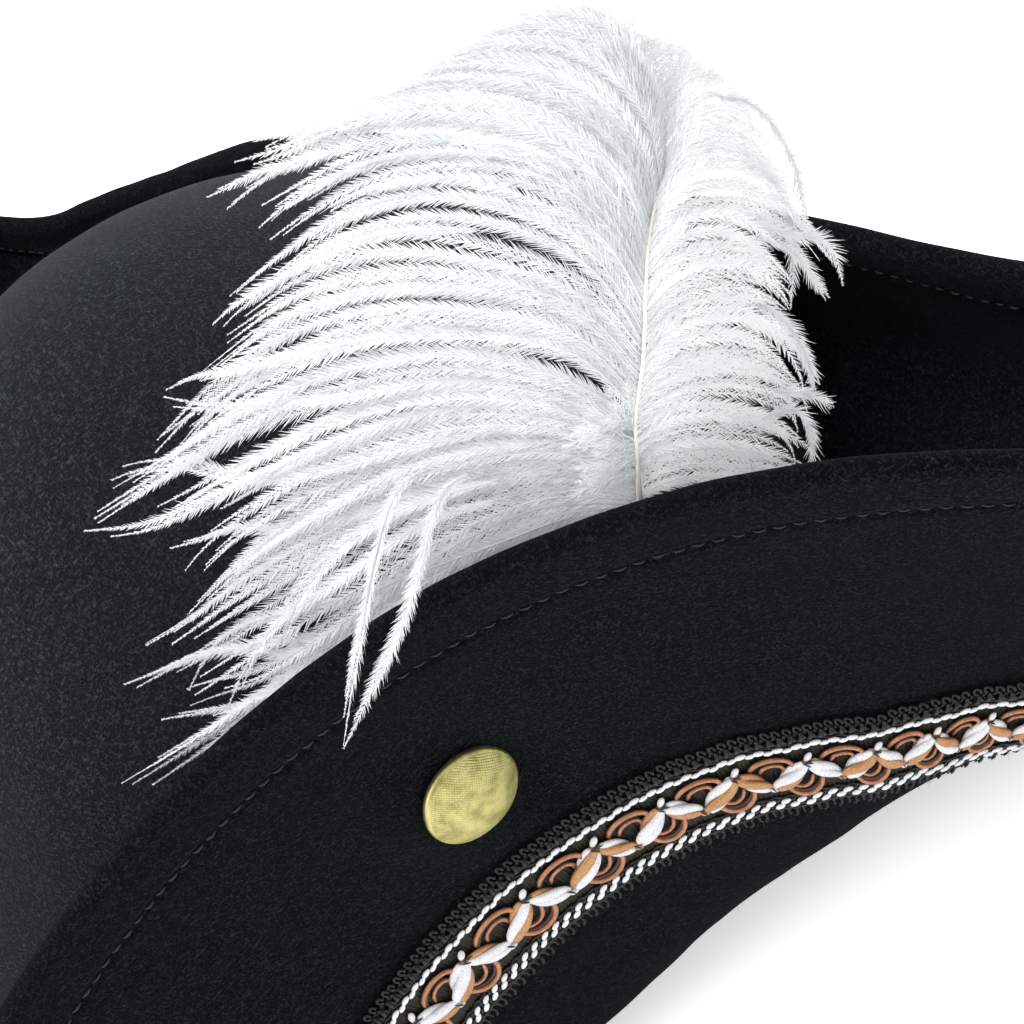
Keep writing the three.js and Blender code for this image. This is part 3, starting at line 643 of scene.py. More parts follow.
def brass_material():
    """Brass cap with an engraved cross-hatch and a plain rolled rim."""
    m = Nodes("brushed_brass")
    x, y, r = m.attr("hx"), m.attr("hy"), m.attr("hr")
    lines = []
    for ang, pitch in ((0.62, 0.42), (0.62 + 1.75, 0.46)):
        t = m.math("ADD", m.math("MULTIPLY", x, math.cos(ang)), m.math("MULTIPLY", y, math.sin(ang)))
        t = m.math("ADD", t, m.math("MULTIPLY", m.noise(330, 2), 0.35))
        lines.append(m.math("ABSOLUTE", m.math("SINE", m.math("MULTIPLY", t, math.pi / pitch))))
    hatch = m.math("MINIMUM", lines[0], m.math("ADD", lines[1], 0.12))
    grain = m.noise(2600, 3, 0.7, m.stretch((1, 0.25, 0.6), (0.4, 0.2, 1.1)))
    inside = m.ramp(m.math("DIVIDE", r, 10.0), [(0.86, 1.0), (0.885, 0.0)])
    hatch = m.math("MULTIPLY", hatch, inside)
    h = m.math("ADD", m.math("MULTIPLY", hatch, 0.8), m.math("MULTIPLY", grain, 0.55))
    tarnish = m.ramp(m.noise(360, 5, 0.62), [(0.40, 0.0), (0.64, 0.85)])
    col = m.mix(tarnish, (0.60, 0.56, 0.235), (0.30, 0.275, 0.085))
    col = m.mix(m.math("MULTIPLY", m.math("SUBTRACT", 1.0, hatch), m.math("MULTIPLY", inside, 0.30)), col, (0.15, 0.14, 0.045))
    rough = m.math("ADD", 0.34, m.math("MULTIPLY", m.noise(800, 2), 0.22))
    m.set(Base_Color=col, Metallic=1.0, Roughness=rough, Normal=m.bump(h, 0.85, 0.00012))
    return m.mat


def satin_material(name, a, b, rough=0.36, metal=0.0):
    """Satin floss: fine strands running along each ply."""
    m = Nodes(name)
    n1 = m.noise(3200, 2, 0.6)
    n2 = m.noise(420, 3, 0.5)
    col = m.mix(m.ramp(n1, [(0.30, 0.0), (0.70, 1.0)]), b, a)
    col = m.mix(m.ramp(n2, [(0.42, 0.0), (0.78, 0.55)]), col, b)
    m.set(Base_Color=col, Roughness=rough, Metallic=metal, Sheen_Weight=0.05, Normal=m.bump(n1, 0.5, 0.0001))
    m.bsdf.inputs["Specular IOR Level"].default_value = 0.6
    return m.mat


def plume_material(name="plume_barbs", low=(0.80, 0.815, 0.825), high=(0.90, 0.905, 0.91), painted_glow=0.05):
    m = Nodes(name)
    n = m.noise(240, 3, 0.5)
    col = m.mix(m.ramp(n, [(0.3, 0.0), (0.75, 1.0)]), low, high)
    # The barbs' emission is painted light: it lifts their shade, though they are no lamp.
    m.set(Base_Color=col, Roughness=0.75, Emission_Color=(0.97, 0.99, 1.0, 1), Emission_Strength=painted_glow)
    m.bsdf.inputs["Specular IOR Level"].default_value = 0.15
    tr = m.node("ShaderNodeBsdfTranslucent", Color=col)
    mix = m.nt.nodes.new("ShaderNodeMixShader")
    mix.inputs[0].default_value = 0.36
    m.nt.links.new(m.bsdf.outputs[0], mix.inputs[1])
    m.nt.links.new(tr.outputs[0], mix.inputs[2])
    m.nt.links.new(mix.outputs[0], m.out.inputs[0])
    return m.mat


def quill_material():
    m = Nodes("plume_quill")
    n = m.noise(900, 3, 0.6, m.stretch((1, 1, 0.15)))
    col = m.mix(m.ramp(n, [(0.3, 0.0), (0.7, 1.0)]), (0.84, 0.81, 0.73), (0.93, 0.92, 0.88))
    m.set(Base_Color=col, Roughness=0.45, Normal=m.bump(n, 0.2, 0.0001))
    return m.mat


def grosgrain_material():
    m = Nodes("band_grosgrain")
    n = m.noise(1800, 3, 0.6)
    col = m.mix(m.ramp(n, [(0.3, 0.0), (0.7, 1.0)]), (0.006, 0.0065, 0.0075), (0.018, 0.019, 0.021))
    m.set(Base_Color=col, Roughness=0.6, Sheen_Weight=0.3, Normal=m.bump(n, 0.4, 0.00015))
    return m.mat


def fibre_material():
    m = Nodes("fibre_washer")
    n = m.noise(700, 4, 0.7)
    col = m.mix(m.ramp(n, [(0.3, 0.0), (0.7, 1.0)]), (0.035, 0.030, 0.026), (0.085, 0.075, 0.065))
    m.set(Base_Color=col, Roughness=0.8, Normal=m.bump(n, 0.5, 0.0002))
    return m.mat


M_FELT = felt_material("blocked_felt")
# The brim is the same felt as the crown, its colours darkened to 0.48: painted shade.
M_BRIM_SHADED = felt_material("brim_felt_painted_shade", 0.48, 0.25)
M_NAP = nap_material()
M_BAND = grosgrain_material()
M_BRASS = brass_material()
M_WASHER = fibre_material()
M_THREAD = cord_material("hem_thread", (0.0035, 0.0035, 0.004), (0.012, 0.012, 0.013), 0.55, 0.1, 3000)
M_RIBBON = cord_material("ribbon_weave", (0.006, 0.0055, 0.0035), (0.026, 0.023, 0.015), 0.5, 0.0, 2400, 0.22, 0.5)
M_LACE = cord_material("lace_cord", (0.0016, 0.0016, 0.0017), (0.0100, 0.0092, 0.0082), 0.40, 0.0, 2600, 0.30, 0.7)
M_WHITE = cord_material("chain_white", (0.86, 0.86, 0.875), (0.60, 0.61, 0.64), 0.45, 0.1, 2600, 0.5, 0.35)
M_SATIN = satin_material("leaf_satin_white", (0.83, 0.83, 0.85), (0.50, 0.50, 0.54), 0.30)
M_GOLD = satin_material("leaf_satin_gold", (0.56, 0.285, 0.105), (0.27, 0.112, 0.034), 0.34, 0.30)
M_COPPER = satin_material("cord_copper", (0.52, 0.238, 0.118), (0.25, 0.092, 0.042), 0.34, 0.50)
M_MAROON = cord_material("cord_maroon", (0.030, 0.010, 0.008), (0.075, 0.028, 0.020), 0.55, 0.2, 2400)
M_FRAY = cord_material("fray_fibre", (0.03, 0.03, 0.03), (0.10, 0.10, 0.10), 0.6, 0.2, 900)
# Both plume materials glow a little: painted light.
M_PLUME = plume_material()
# The right vane faces away from the lights; its barbs are painted lighter and glow more: a lit copy of the plume
# material, painted light.
M_PLUME_R_PAINTED_LIGHT = plume_material("plume_barbs_right_painted_light", (0.89, 0.90, 0.905), (0.96, 0.962, 0.965), 0.11)
M_QUILL = quill_material()

BARBS_LEFT = np.array([
    [[50.0, -113.2, 102.4], [37.8, -108.8, 106.0], [23.7, -104.1, 110.0], [7.3, -100.2, 111.5], [-8.0, -95.4, 111.0], [-23.0, -90.2, 110.9], [-35.7, -86.5, 110.7]],
    [[52.1, -113.9, 106.2], [39.8, -108.0, 111.5], [23.5, -102.6, 114.8], [4.8, -98.0, 115.6], [-12.3, -92.9, 113.9], [-29.8, -86.3, 114.0], [-45.1, -79.5, 115.7]],
    [[53.1, -116.1, 109.8], [39.7, -108.1, 114.5], [21.7, -102.3, 115.1], [3.8, -98.8, 114.7], [-10.2, -93.8, 114.4], [-19.4, -87.6, 115.5], [-27.4, -80.9, 118.8]],
    [[54.1, -116.0, 111.4], [43.5, -109.1, 119.5], [29.5, -102.1, 123.0], [12.1, -96.0, 124.1], [-4.4, -89.7, 123.7], [-17.8, -82.5, 124.5], [-30.2, -76.2, 125.7]],
    [[55.5, -116.3, 114.1], [46.2, -110.2, 122.8], [32.2, -102.5, 127.2], [15.9, -94.8, 128.5], [0.6, -87.7, 129.1], [-11.4, -82.0, 128.2], [-21.4, -76.3, 128.6]],
    [[57.1, -116.6, 116.8], [48.3, -110.2, 125.9], [35.4, -101.7, 131.1], [20.3, -93.2, 133.4], [6.7, -86.4, 133.7], [-4.6, -81.0, 132.3], [-14.7, -77.4, 130.4]],
    [[58.5, -116.9, 119.5], [50.6, -110.8, 129.8], [38.6, -101.7, 135.7], [24.1, -92.8, 138.4], [10.0, -84.2, 139.3], [-2.6, -76.5, 139.1], [-13.0, -69.8, 139.2]],
    [[60.3, -117.1, 122.4], [54.4, -111.0, 132.6], [43.0, -101.7, 138.9], [27.9, -91.7, 142.8], [12.0, -81.9, 143.5], [-2.3, -73.1, 143.0], [-14.4, -64.6, 143.8]],
    [[62.1, -117.3, 125.3], [58.1, -111.4, 135.2], [47.8, -102.0, 143.1], [33.9, -90.5, 147.3], [18.7, -80.3, 148.4], [4.4, -71.5, 148.0], [-7.9, -63.2, 148.5]],
    [[64.4, -116.6, 127.5], [61.3, -111.3, 138.4], [52.6, -101.6, 146.6], [40.8, -91.7, 152.0], [26.5, -80.2, 153.1], [15.4, -73.2, 152.1], [3.0, -66.9, 150.2]],
    [[66.9, -116.5, 130.7], [64.7, -110.4, 141.0], [56.9, -101.5, 149.7], [45.8, -91.2, 155.7], [33.5, -80.7, 157.2], [20.9, -72.4, 156.1], [9.1, -64.7, 155.9]],
    [[70.0, -115.4, 133.6], [69.3, -109.3, 143.7], [63.6, -100.5, 152.4], [54.6, -90.2, 158.3], [43.7, -81.1, 161.2], [31.6, -73.4, 161.0], [19.4, -65.5, 159.5]],
    [[73.3, -114.0, 136.7], [73.3, -108.4, 146.3], [68.7, -99.8, 154.7], [60.4, -89.9, 160.2], [50.8, -81.4, 164.0], [40.0, -73.6, 163.8], [29.0, -66.5, 162.9]],
    [[76.0, -113.0, 139.4], [76.9, -106.8, 148.1], [73.6, -98.6, 156.2], [66.6, -89.2, 162.5], [57.7, -80.3, 166.8], [47.6, -72.8, 167.9], [37.2, -66.5, 167.5]],
    [[78.7, -111.1, 141.6], [80.1, -105.2, 149.9], [77.6, -97.2, 157.8], [70.9, -87.6, 164.3], [61.0, -77.8, 169.6], [48.0, -68.6, 171.1], [33.0, -59.7, 170.8]],
    [[81.4, -109.3, 143.7], [83.6, -103.9, 151.5], [81.4, -96.0, 159.2], [74.7, -86.4, 165.7], [66.0, -77.3, 170.2], [55.1, -68.1, 173.3], [42.7, -59.3, 174.3]],
    [[84.1, -107.1, 144.7], [86.9, -102.3, 151.8], [85.9, -95.0, 158.8], [81.6, -87.5, 164.5], [75.3, -79.8, 168.8], [67.8, -72.9, 172.2], [59.2, -65.9, 174.3]],
    [[86.5, -106.0, 146.0], [90.0, -100.9, 151.9], [90.3, -94.1, 158.3], [86.9, -86.7, 163.8], [80.6, -79.0, 168.1], [72.7, -72.4, 171.3], [63.2, -66.9, 173.2]],
    [[88.9, -104.5, 146.1], [93.1, -99.4, 152.1], [94.1, -92.9, 158.2], [91.4, -85.7, 163.4], [85.9, -78.3, 167.5], [78.8, -72.7, 171.0], [70.1, -67.3, 172.7]],
    [[91.5, -102.4, 147.0], [95.5, -98.0, 152.2], [97.4, -91.8, 157.9], [95.7, -84.9, 162.8], [90.7, -78.6, 167.1], [84.3, -72.5, 169.6], [76.4, -68.2, 171.6]],
    [[93.9, -99.6, 148.8], [97.5, -95.1, 152.5], [99.3, -89.5, 157.4], [98.5, -83.4, 161.5], [95.0, -77.9, 164.9], [90.0, -73.1, 167.4], [83.7, -69.1, 169.0]],
    [[96.0, -94.9, 149.7], [98.5, -90.7, 153.1], [99.9, -85.8, 157.2], [99.6, -80.7, 160.0], [97.2, -77.1, 162.8], [94.1, -73.2, 164.2], [90.0, -70.8, 165.5]],
    [[97.4, -90.0, 150.8], [98.8, -86.4, 153.4], [99.7, -82.7, 156.2], [99.7, -79.5, 158.4], [98.9, -76.7, 160.1], [97.3, -74.5, 161.1], [95.0, -72.6, 161.8]],
    [[97.1, -82.6, 153.2], [97.6, -80.3, 154.4], [98.2, -78.1, 155.4], [98.6, -76.1, 156.2], [98.8, -74.2, 156.8], [98.7, -73.4, 157.8], [98.2, -71.9, 158.0]],
])
BARBS_RIGHT = np.array([
    [[53.7, -116.5, 110.8], [57.7, -117.5, 109.7], [61.3, -118.1, 107.4], [65.2, -119.2, 104.6], [69.2, -120.2, 101.8], [72.7, -120.9, 99.5], [75.6, -121.3, 97.5]],
    [[55.8, -116.1, 114.3], [60.3, -117.3, 114.5], [64.4, -118.0, 112.1], [68.6, -118.9, 108.0], [72.3, -120.3, 103.3], [74.9, -120.9, 99.5], [76.8, -121.0, 96.4]],
    [[58.0, -117.3, 119.1], [62.9, -117.6, 118.8], [67.7, -118.5, 116.1], [72.0, -118.7, 111.3], [75.4, -119.5, 105.8], [77.0, -121.1, 100.8], [77.1, -121.9, 96.8]],
    [[60.4, -117.6, 123.4], [66.0, -117.7, 123.2], [71.1, -118.5, 120.7], [75.6, -118.9, 115.6], [78.9, -119.2, 109.2], [79.8, -120.4, 103.1], [78.7, -121.0, 97.8]],
    [[63.1, -117.3, 126.8], [69.0, -117.3, 126.8], [74.4, -117.2, 123.7], [79.1, -117.6, 118.7], [82.2, -117.9, 112.1], [83.0, -119.2, 106.1], [80.0, -120.5, 100.0]],
    [[66.0, -117.1, 130.1], [72.2, -116.1, 129.7], [77.7, -116.1, 126.6], [82.2, -116.3, 121.7], [85.3, -116.7, 115.2], [85.4, -118.0, 109.0], [81.8, -119.4, 102.8]],
    [[68.9, -116.1, 132.7], [75.2, -115.0, 132.4], [80.8, -114.8, 129.6], [85.3, -115.1, 124.7], [88.4, -115.5, 118.1], [88.4, -116.9, 111.8], [85.5, -118.8, 104.9]],
    [[72.2, -114.8, 135.8], [78.5, -113.6, 135.6], [83.9, -113.3, 132.9], [88.2, -113.4, 128.1], [90.6, -113.5, 121.9], [90.4, -114.6, 116.0], [87.0, -116.3, 109.5]],
    [[74.9, -113.7, 138.6], [81.1, -112.4, 138.5], [86.3, -112.0, 136.0], [90.9, -111.1, 130.8], [93.4, -111.8, 125.4], [93.2, -112.7, 119.8], [90.6, -113.6, 114.1]],
    [[78.0, -111.7, 140.9], [84.1, -110.5, 140.8], [89.2, -110.2, 138.0], [93.4, -110.4, 133.2], [95.5, -110.3, 127.1], [95.2, -110.7, 122.0], [91.6, -111.5, 118.1]],
    [[80.9, -109.7, 143.2], [87.3, -108.4, 143.2], [92.4, -108.2, 140.3], [96.5, -108.4, 135.4], [98.9, -108.9, 128.7], [100.6, -109.5, 123.5], [101.9, -111.4, 116.6]],
    [[83.9, -107.2, 144.6], [90.2, -106.8, 145.0], [95.1, -106.4, 142.5], [98.9, -106.4, 137.8], [101.1, -107.3, 132.2], [102.0, -108.1, 126.6], [100.8, -109.9, 120.0]],
    [[87.2, -105.7, 146.3], [93.5, -104.5, 146.2], [98.2, -103.8, 144.0], [101.4, -104.3, 140.3], [103.4, -104.9, 135.0], [103.8, -105.7, 129.4], [102.4, -107.5, 124.3]],
    [[90.7, -103.8, 147.0], [96.8, -102.4, 147.1], [101.2, -101.4, 145.1], [104.0, -101.7, 141.8], [105.0, -102.6, 137.6], [104.5, -103.0, 132.5], [102.7, -104.1, 128.2]],
    [[93.0, -101.3, 148.3], [99.2, -99.7, 148.7], [103.2, -98.4, 147.1], [105.7, -98.9, 145.0], [106.7, -98.6, 140.7], [106.0, -99.3, 136.8], [104.1, -100.0, 132.9]],
    [[94.7, -97.9, 149.3], [100.6, -96.1, 149.8], [104.2, -95.4, 149.1], [106.6, -95.0, 146.5], [107.5, -95.1, 143.3], [107.0, -95.3, 140.0], [105.2, -96.5, 137.1]],
    [[95.9, -93.6, 149.7], [101.1, -91.6, 150.4], [104.3, -90.7, 149.9], [106.4, -90.8, 148.3], [107.3, -91.4, 146.0], [107.2, -92.3, 143.4], [106.0, -92.4, 140.3]],
    [[97.1, -88.7, 150.7], [101.4, -86.7, 151.5], [104.2, -85.8, 151.0], [106.0, -85.8, 149.5], [106.8, -86.2, 147.4], [106.7, -86.8, 145.2], [105.8, -87.3, 143.1]],
    [[97.1, -84.5, 152.6], [100.7, -82.7, 153.1], [102.9, -81.7, 152.7], [104.4, -81.5, 151.5], [105.1, -82.4, 150.4], [105.1, -82.7, 148.5], [104.8, -83.0, 146.6]],
    [[96.8, -77.6, 153.0], [99.3, -76.7, 153.9], [100.8, -76.5, 154.1], [102.1, -76.0, 153.2], [102.7, -76.6, 152.5], [102.9, -77.4, 151.6], [102.7, -77.6, 149.8]],
])
BARBS_LOOSE = np.array([
    [[32.0, -104.2, 134.4], [28.7, -105.1, 136.4], [23.9, -106.6, 136.3], [16.4, -109.0, 131.9], [8.6, -111.3, 126.2], [-0.9, -109.7, 115.8], [-8.2, -108.9, 107.6]],
    [[36.2, -108.1, 131.4], [32.3, -109.1, 133.3], [27.0, -111.2, 132.4], [20.9, -113.1, 128.7], [12.3, -114.2, 122.9], [1.6, -112.6, 115.5], [-8.4, -109.9, 108.0]],
    [[37.1, -108.3, 123.5], [26.6, -103.4, 126.1], [15.2, -100.8, 126.1], [3.4, -95.1, 123.5], [-3.7, -91.5, 121.6], [-12.5, -90.7, 118.0], [-18.8, -90.9, 114.7]],
    [[39.2, -107.5, 125.9], [30.5, -103.7, 128.8], [20.7, -100.0, 130.2], [11.5, -96.4, 128.1], [3.9, -94.0, 124.9], [-1.2, -93.8, 122.1], [-7.1, -94.0, 118.8]],
    [[42.1, -110.2, 113.6], [29.3, -104.7, 115.4], [16.4, -99.1, 117.3], [8.1, -95.7, 118.3], [-5.1, -88.5, 122.0], [-13.4, -85.8, 122.2], [-21.6, -86.0, 118.9]],
    [[41.0, -110.2, 112.0], [28.2, -104.0, 113.2], [14.8, -99.5, 112.3], [3.7, -95.7, 113.7], [-9.2, -88.3, 119.3], [-18.3, -83.6, 121.6], [-29.0, -79.4, 123.6]],
    [[37.5, -108.1, 111.4], [22.4, -102.7, 113.2], [7.8, -98.3, 113.7], [-4.1, -93.4, 114.8], [-10.9, -88.0, 119.7], [-18.3, -83.6, 121.6], [-27.8, -80.5, 122.2]],
    [[38.9, -108.8, 107.5], [26.0, -104.0, 110.1], [8.4, -99.4, 109.4], [-7.0, -94.6, 108.8], [-14.3, -90.6, 110.5], [-21.4, -87.0, 113.2], [-28.5, -83.3, 116.0]],
    [[50.5, -110.8, 126.6], [40.0, -104.6, 130.9], [28.4, -97.5, 133.0], [18.0, -92.5, 132.7], [8.6, -88.2, 131.6], [0.8, -85.1, 130.6], [-6.4, -82.8, 128.7]],
    [[50.0, -105.8, 134.0], [38.2, -98.2, 138.3], [24.5, -91.0, 140.6], [12.8, -84.5, 140.5], [2.4, -78.5, 139.8], [-7.8, -73.1, 140.0], [-16.9, -65.9, 142.3]],
    [[52.6, -101.6, 146.6], [42.8, -93.3, 150.1], [31.8, -85.8, 152.7], [24.5, -80.1, 153.3], [18.0, -74.5, 153.7], [13.7, -69.6, 153.2], [8.9, -67.0, 153.2]],
    [[63.0, -96.3, 157.3], [53.6, -87.8, 161.0], [45.0, -81.7, 162.0], [36.6, -76.9, 161.5], [30.3, -73.6, 160.8], [25.7, -70.0, 158.9], [21.6, -67.6, 157.1]],
    [[72.7, -91.6, 161.2], [65.2, -84.0, 165.4], [57.3, -78.2, 167.6], [51.0, -74.2, 167.7], [45.9, -71.7, 167.6], [42.0, -69.8, 166.7], [37.7, -68.2, 165.6]],
    [[72.6, -87.9, 164.0], [63.6, -79.9, 168.8], [55.4, -74.2, 170.8], [49.3, -70.0, 171.1], [44.3, -66.6, 171.9], [39.6, -64.0, 171.9], [34.7, -60.6, 171.4]],
    [[75.5, -85.0, 165.9], [67.5, -77.8, 169.7], [60.9, -73.3, 171.8], [55.8, -70.0, 172.6], [51.0, -67.7, 172.3], [46.3, -64.5, 172.9], [41.7, -61.4, 173.5]],
    [[76.0, -84.7, 166.2], [69.1, -78.1, 169.2], [62.6, -73.6, 171.5], [56.9, -70.0, 172.6], [52.7, -66.8, 173.3], [49.4, -63.6, 173.9], [44.9, -61.1, 175.3]],
    [[52.1, -105.8, 137.1], [41.4, -97.4, 142.3], [29.0, -89.3, 145.6], [21.6, -82.1, 147.9], [14.4, -75.5, 149.5], [10.5, -71.2, 151.4], [7.8, -67.3, 152.8]],
    [[47.4, -110.9, 122.0], [35.7, -103.1, 126.4], [20.5, -95.4, 129.3], [8.6, -87.5, 130.9], [2.6, -81.4, 133.4], [-3.6, -78.0, 134.3], [-8.2, -75.0, 134.8]],
    [[44.5, -105.9, 132.3], [33.5, -99.3, 135.5], [20.1, -91.0, 137.5], [9.2, -81.5, 139.4], [3.4, -72.9, 143.3], [-3.3, -68.2, 145.7], [-7.9, -65.4, 145.9]],
    [[92.1, -108.2, 135.7], [95.5, -109.0, 131.7], [98.2, -109.9, 127.6], [100.2, -111.1, 124.6], [102.5, -111.9, 122.2], [102.6, -113.4, 118.9], [100.5, -114.7, 114.3]],
    [[92.7, -109.4, 131.2], [95.7, -110.4, 128.6], [97.6, -110.7, 125.1], [98.2, -111.9, 122.2], [97.9, -113.3, 119.0], [97.8, -114.2, 116.4], [97.6, -114.7, 114.3]],
    [[88.3, -113.5, 123.4], [89.4, -115.9, 119.1], [89.5, -116.7, 115.1], [88.6, -118.2, 111.8], [87.4, -119.5, 108.8], [86.1, -119.8, 106.9], [84.9, -119.7, 107.1]],
    [[80.5, -118.7, 111.3], [82.4, -119.0, 109.4], [83.8, -119.9, 108.3], [84.8, -120.1, 106.5], [85.4, -120.9, 105.6], [86.0, -121.9, 104.5], [86.6, -122.0, 102.8]],
    [[100.0, -104.9, 138.1], [101.9, -105.1, 136.2], [102.8, -105.4, 132.9], [102.2, -107.0, 129.5], [100.6, -107.9, 125.3], [97.3, -110.1, 121.3], [91.8, -112.2, 115.7]],
    [[105.2, -97.3, 145.3], [108.0, -98.4, 142.5], [108.8, -100.3, 138.8], [108.3, -102.2, 135.0], [107.2, -104.2, 131.1], [105.0, -106.3, 127.2], [101.9, -108.8, 122.7]],
    [[76.4, -119.4, 108.9], [79.7, -120.2, 108.0], [81.7, -120.3, 106.3], [81.8, -121.8, 104.6], [81.0, -122.6, 102.1], [79.4, -123.3, 99.8], [77.0, -123.7, 97.8]],
    [[86.9, -86.8, 159.2], [80.9, -81.9, 164.9], [74.6, -77.2, 168.8], [68.6, -73.1, 170.5], [62.8, -70.3, 170.7], [58.4, -69.2, 170.5], [55.0, -68.2, 170.1]],
    [[106.3, -91.3, 147.7], [107.3, -92.4, 146.4], [107.5, -93.1, 144.0], [106.8, -93.8, 141.7], [106.2, -95.4, 139.9], [105.5, -95.8, 137.8], [104.3, -96.3, 135.8]],
])
PLUME_FACE = np.array([0.0016, -0.7584, 0.6518])
PHASE = 0.0

# ------------------------------------------------------------------ plume
RACHIS = np.array([
    [33.5, -102.8, 58.2], [40.4, -107.5, 76.4], [47.4, -112.3, 94.5], [53.7, -116.5, 110.8], [58.0, -117.3, 119.1],
    [61.6, -117.4, 125.1], [68.5, -116.5, 132.3], [75.5, -113.3, 139.1], [80.9, -109.7, 143.2], [86.0, -106.4, 145.6],
    [90.5, -103.3, 146.1], [93.2, -99.7, 147.1], [95.3, -94.0, 149.1], [96.9, -85.2, 151.7], [96.8, -77.3, 153.3]])


CAM_UP = np.array([0.66959, 0.48496, 0.56254])   # the way the plume stands up, across its barbs


def smooth01(x):
    t = np.clip(x, 0, 1)
    return t * t * (3 - 2 * t)


def barb_mesh(P, roll, full, gap, fluff, rng):
    """One barb: a tapering shaft and two combs of barbules. P (m, 3)."""
    m = len(P)
    T = unit(np.gradient(P, axis=0))
    N = unit(PLUME_FACE - T * (T @ PLUME_FACE)[:, None])
    S = np.cross(T, N)
    c, s = np.cos(roll)[:, None], np.sin(roll)[:, None]
    N, S = N * c + S * s, S * c - N * s
    arc = np.concatenate([[0], np.cumsum(np.linalg.norm(np.diff(P, axis=0), axis=1))])
    x = arc / arc[-1]
    r = (0.17 * (1 - x) ** 0.7 + 0.03)[:, None, None]
    a = np.linspace(0, 2 * np.pi, 4, endpoint=False)
    V0 = (P[:, None] + (S[:, None] * np.cos(a)[None, :, None] + N[:, None] * np.sin(a)[None, :, None]) * r).reshape(-1, 3)
    F0 = np.concatenate([grid_faces(m, 4), cap_faces(m, 4)])
    n = max(4, int(arc[-1] / gap))
    Vs, Fs, base = [V0], [F0], len(V0)
    for side in (-1, 1):
        q = (np.arange(n) + rng.uniform(0, 0.9, n)) / n
        q = np.clip(q, 0.004, 0.998)
        pick = lambda A: np.stack([np.interp(q, x, A[:, k]) for k in range(3)], 1)
        p, t, nn, ss = pick(P), unit(pick(T)), unit(pick(N)), unit(pick(S))
        L = full * (0.42 + 0.58 * smooth01(q / 0.14)) * (1 - 0.88 * smooth01((q - 0.68) / 0.32)) * rng.uniform(0.70, 1.15, n)
        ang = np.radians(rng.normal(34, 6, n))[:, None]
        lift = rng.normal(0, fluff, n)[:, None]
        D = unit(t * np.cos(ang) + side * ss * np.sin(ang) + nn * lift)
        wide = unit(np.cross(D, nn + ss * rng.normal(0, 0.45, n)[:, None]))
        bend = t * 0.22 - nn * rng.uniform(-0.10, 0.16, n)[:, None]
        w0 = rng.uniform(0.085, 0.130, n)[:, None]
        Lc = L[:, None]
        mid = p + D * Lc * 0.52 + bend * Lc * 0.20
        end = p + D * Lc + bend * Lc * 0.75
        quad = np.stack([p - wide * w0, p + wide * w0, mid - wide * w0 * 0.72, mid + wide * w0 * 0.72, end - wide * 0.012, end + wide * 0.012], 1)
        Vs.append(quad.reshape(-1, 3))
        b = base + np.arange(n)[:, None] * 6
        Fs.append(np.concatenate([b + np.array([[0, 1, 3, 2]]), b + np.array([[2, 3, 5, 4]])]))
        base += n * 6
    return np.concatenate(Vs), np.concatenate(Fs)


def grow_barbs(K, n, full, depth, rng, spread=1.0, cut=(0.84, 1.0), gap=0.5, fluff=0.10, layer=0.9, clumps=26, gather=0.55, gaps=(), droop=0.0, arch=0.0):
    """Barbs between the key rows K (bottom to top). They gather into clumps toward their tips,
    and stand apart at the gaps (t, first x, last x, half height in mm)."""
    out = []
    lam = np.linspace(0, 1, K.shape[1])[:, None]
    phase = rng.uniform(0, 6.28, 6)
    centres = (np.arange(clumps) + rng.uniform(-0.35, 0.35, clumps) + 0.5) / clumps
    reach = rng.uniform(0.80, 1.0, clumps)
    ups = catmull_open(K, np.linspace(0, 1, 101))
    for i in range(n):
        t = (i + 0.5 + rng.uniform(-0.45, 0.45)) / n
        c = int(np.argmin(np.abs(centres - t)))
        key = catmull_open(K, np.array([t]))[0]
        mate = catmull_open(K, np.array([np.clip(centres[c], 0, 1)]))[0]
        g = gather * rng.uniform(0.55, 1.15)
        key = key + (mate - key) * g * lam ** 1.15 * (1 - 0.25 * lam)
        key = key - CAM_UP * droop * np.maximum(lam - 0.42, 0) ** 2 / 0.336
        key = key + CAM_UP * arch * np.sin(np.pi * lam ** 0.85) * math.exp(-((t - 0.42) / 0.34) ** 2)
        up = unit(ups[min(int(t * 100) + 1, 100)] - ups[max(int(t * 100) - 1, 0)])
        for t0, x0, x1, amp in gaps:
            k = (t - t0) / 0.055
            bell = np.clip((lam - x0) / (x1 - x0), 0, 1)
            bell = np.sin(np.pi * bell) ** 0.8
            key = key + up * (np.sign(k) if k != 0 else 1) * amp * math.exp(-abs(k) ** 1.5) * bell
        wave = np.array([math.sin(t * 31 + phase[0]) + math.sin(t * 57 + phase[1]), math.sin(t * 43 + phase[2]), math.sin(t * 37 + phase[3]) + math.sin(t * 71 + phase[4])])
        key = key + spread * (wave * 0.7 * lam ** 1.4 + rng.normal(0, 1.0, 3) * 1.1 * lam ** 1.8 + rng.normal(0, 0.40, 3) * np.sin(np.pi * lam))
        key = key + PLUME_FACE * (depth * lam ** 0.7 * rng.uniform(-1, 1) + layer * ((i % 3) - 1) * np.minimum(lam * 4, 1))
        m = 20 if QUICK else 30
        P = catmull_open(key, np.linspace(0, reach[c] * rng.uniform(*cut), m))
        roll = rng.normal(0, 0.30) + rng.normal(0, 0.5) * np.linspace(0, 1, m) ** 1.5
        out.append(barb_mesh(P, roll, full * rng.uniform(0.80, 1.12), gap, fluff, rng))
    return out


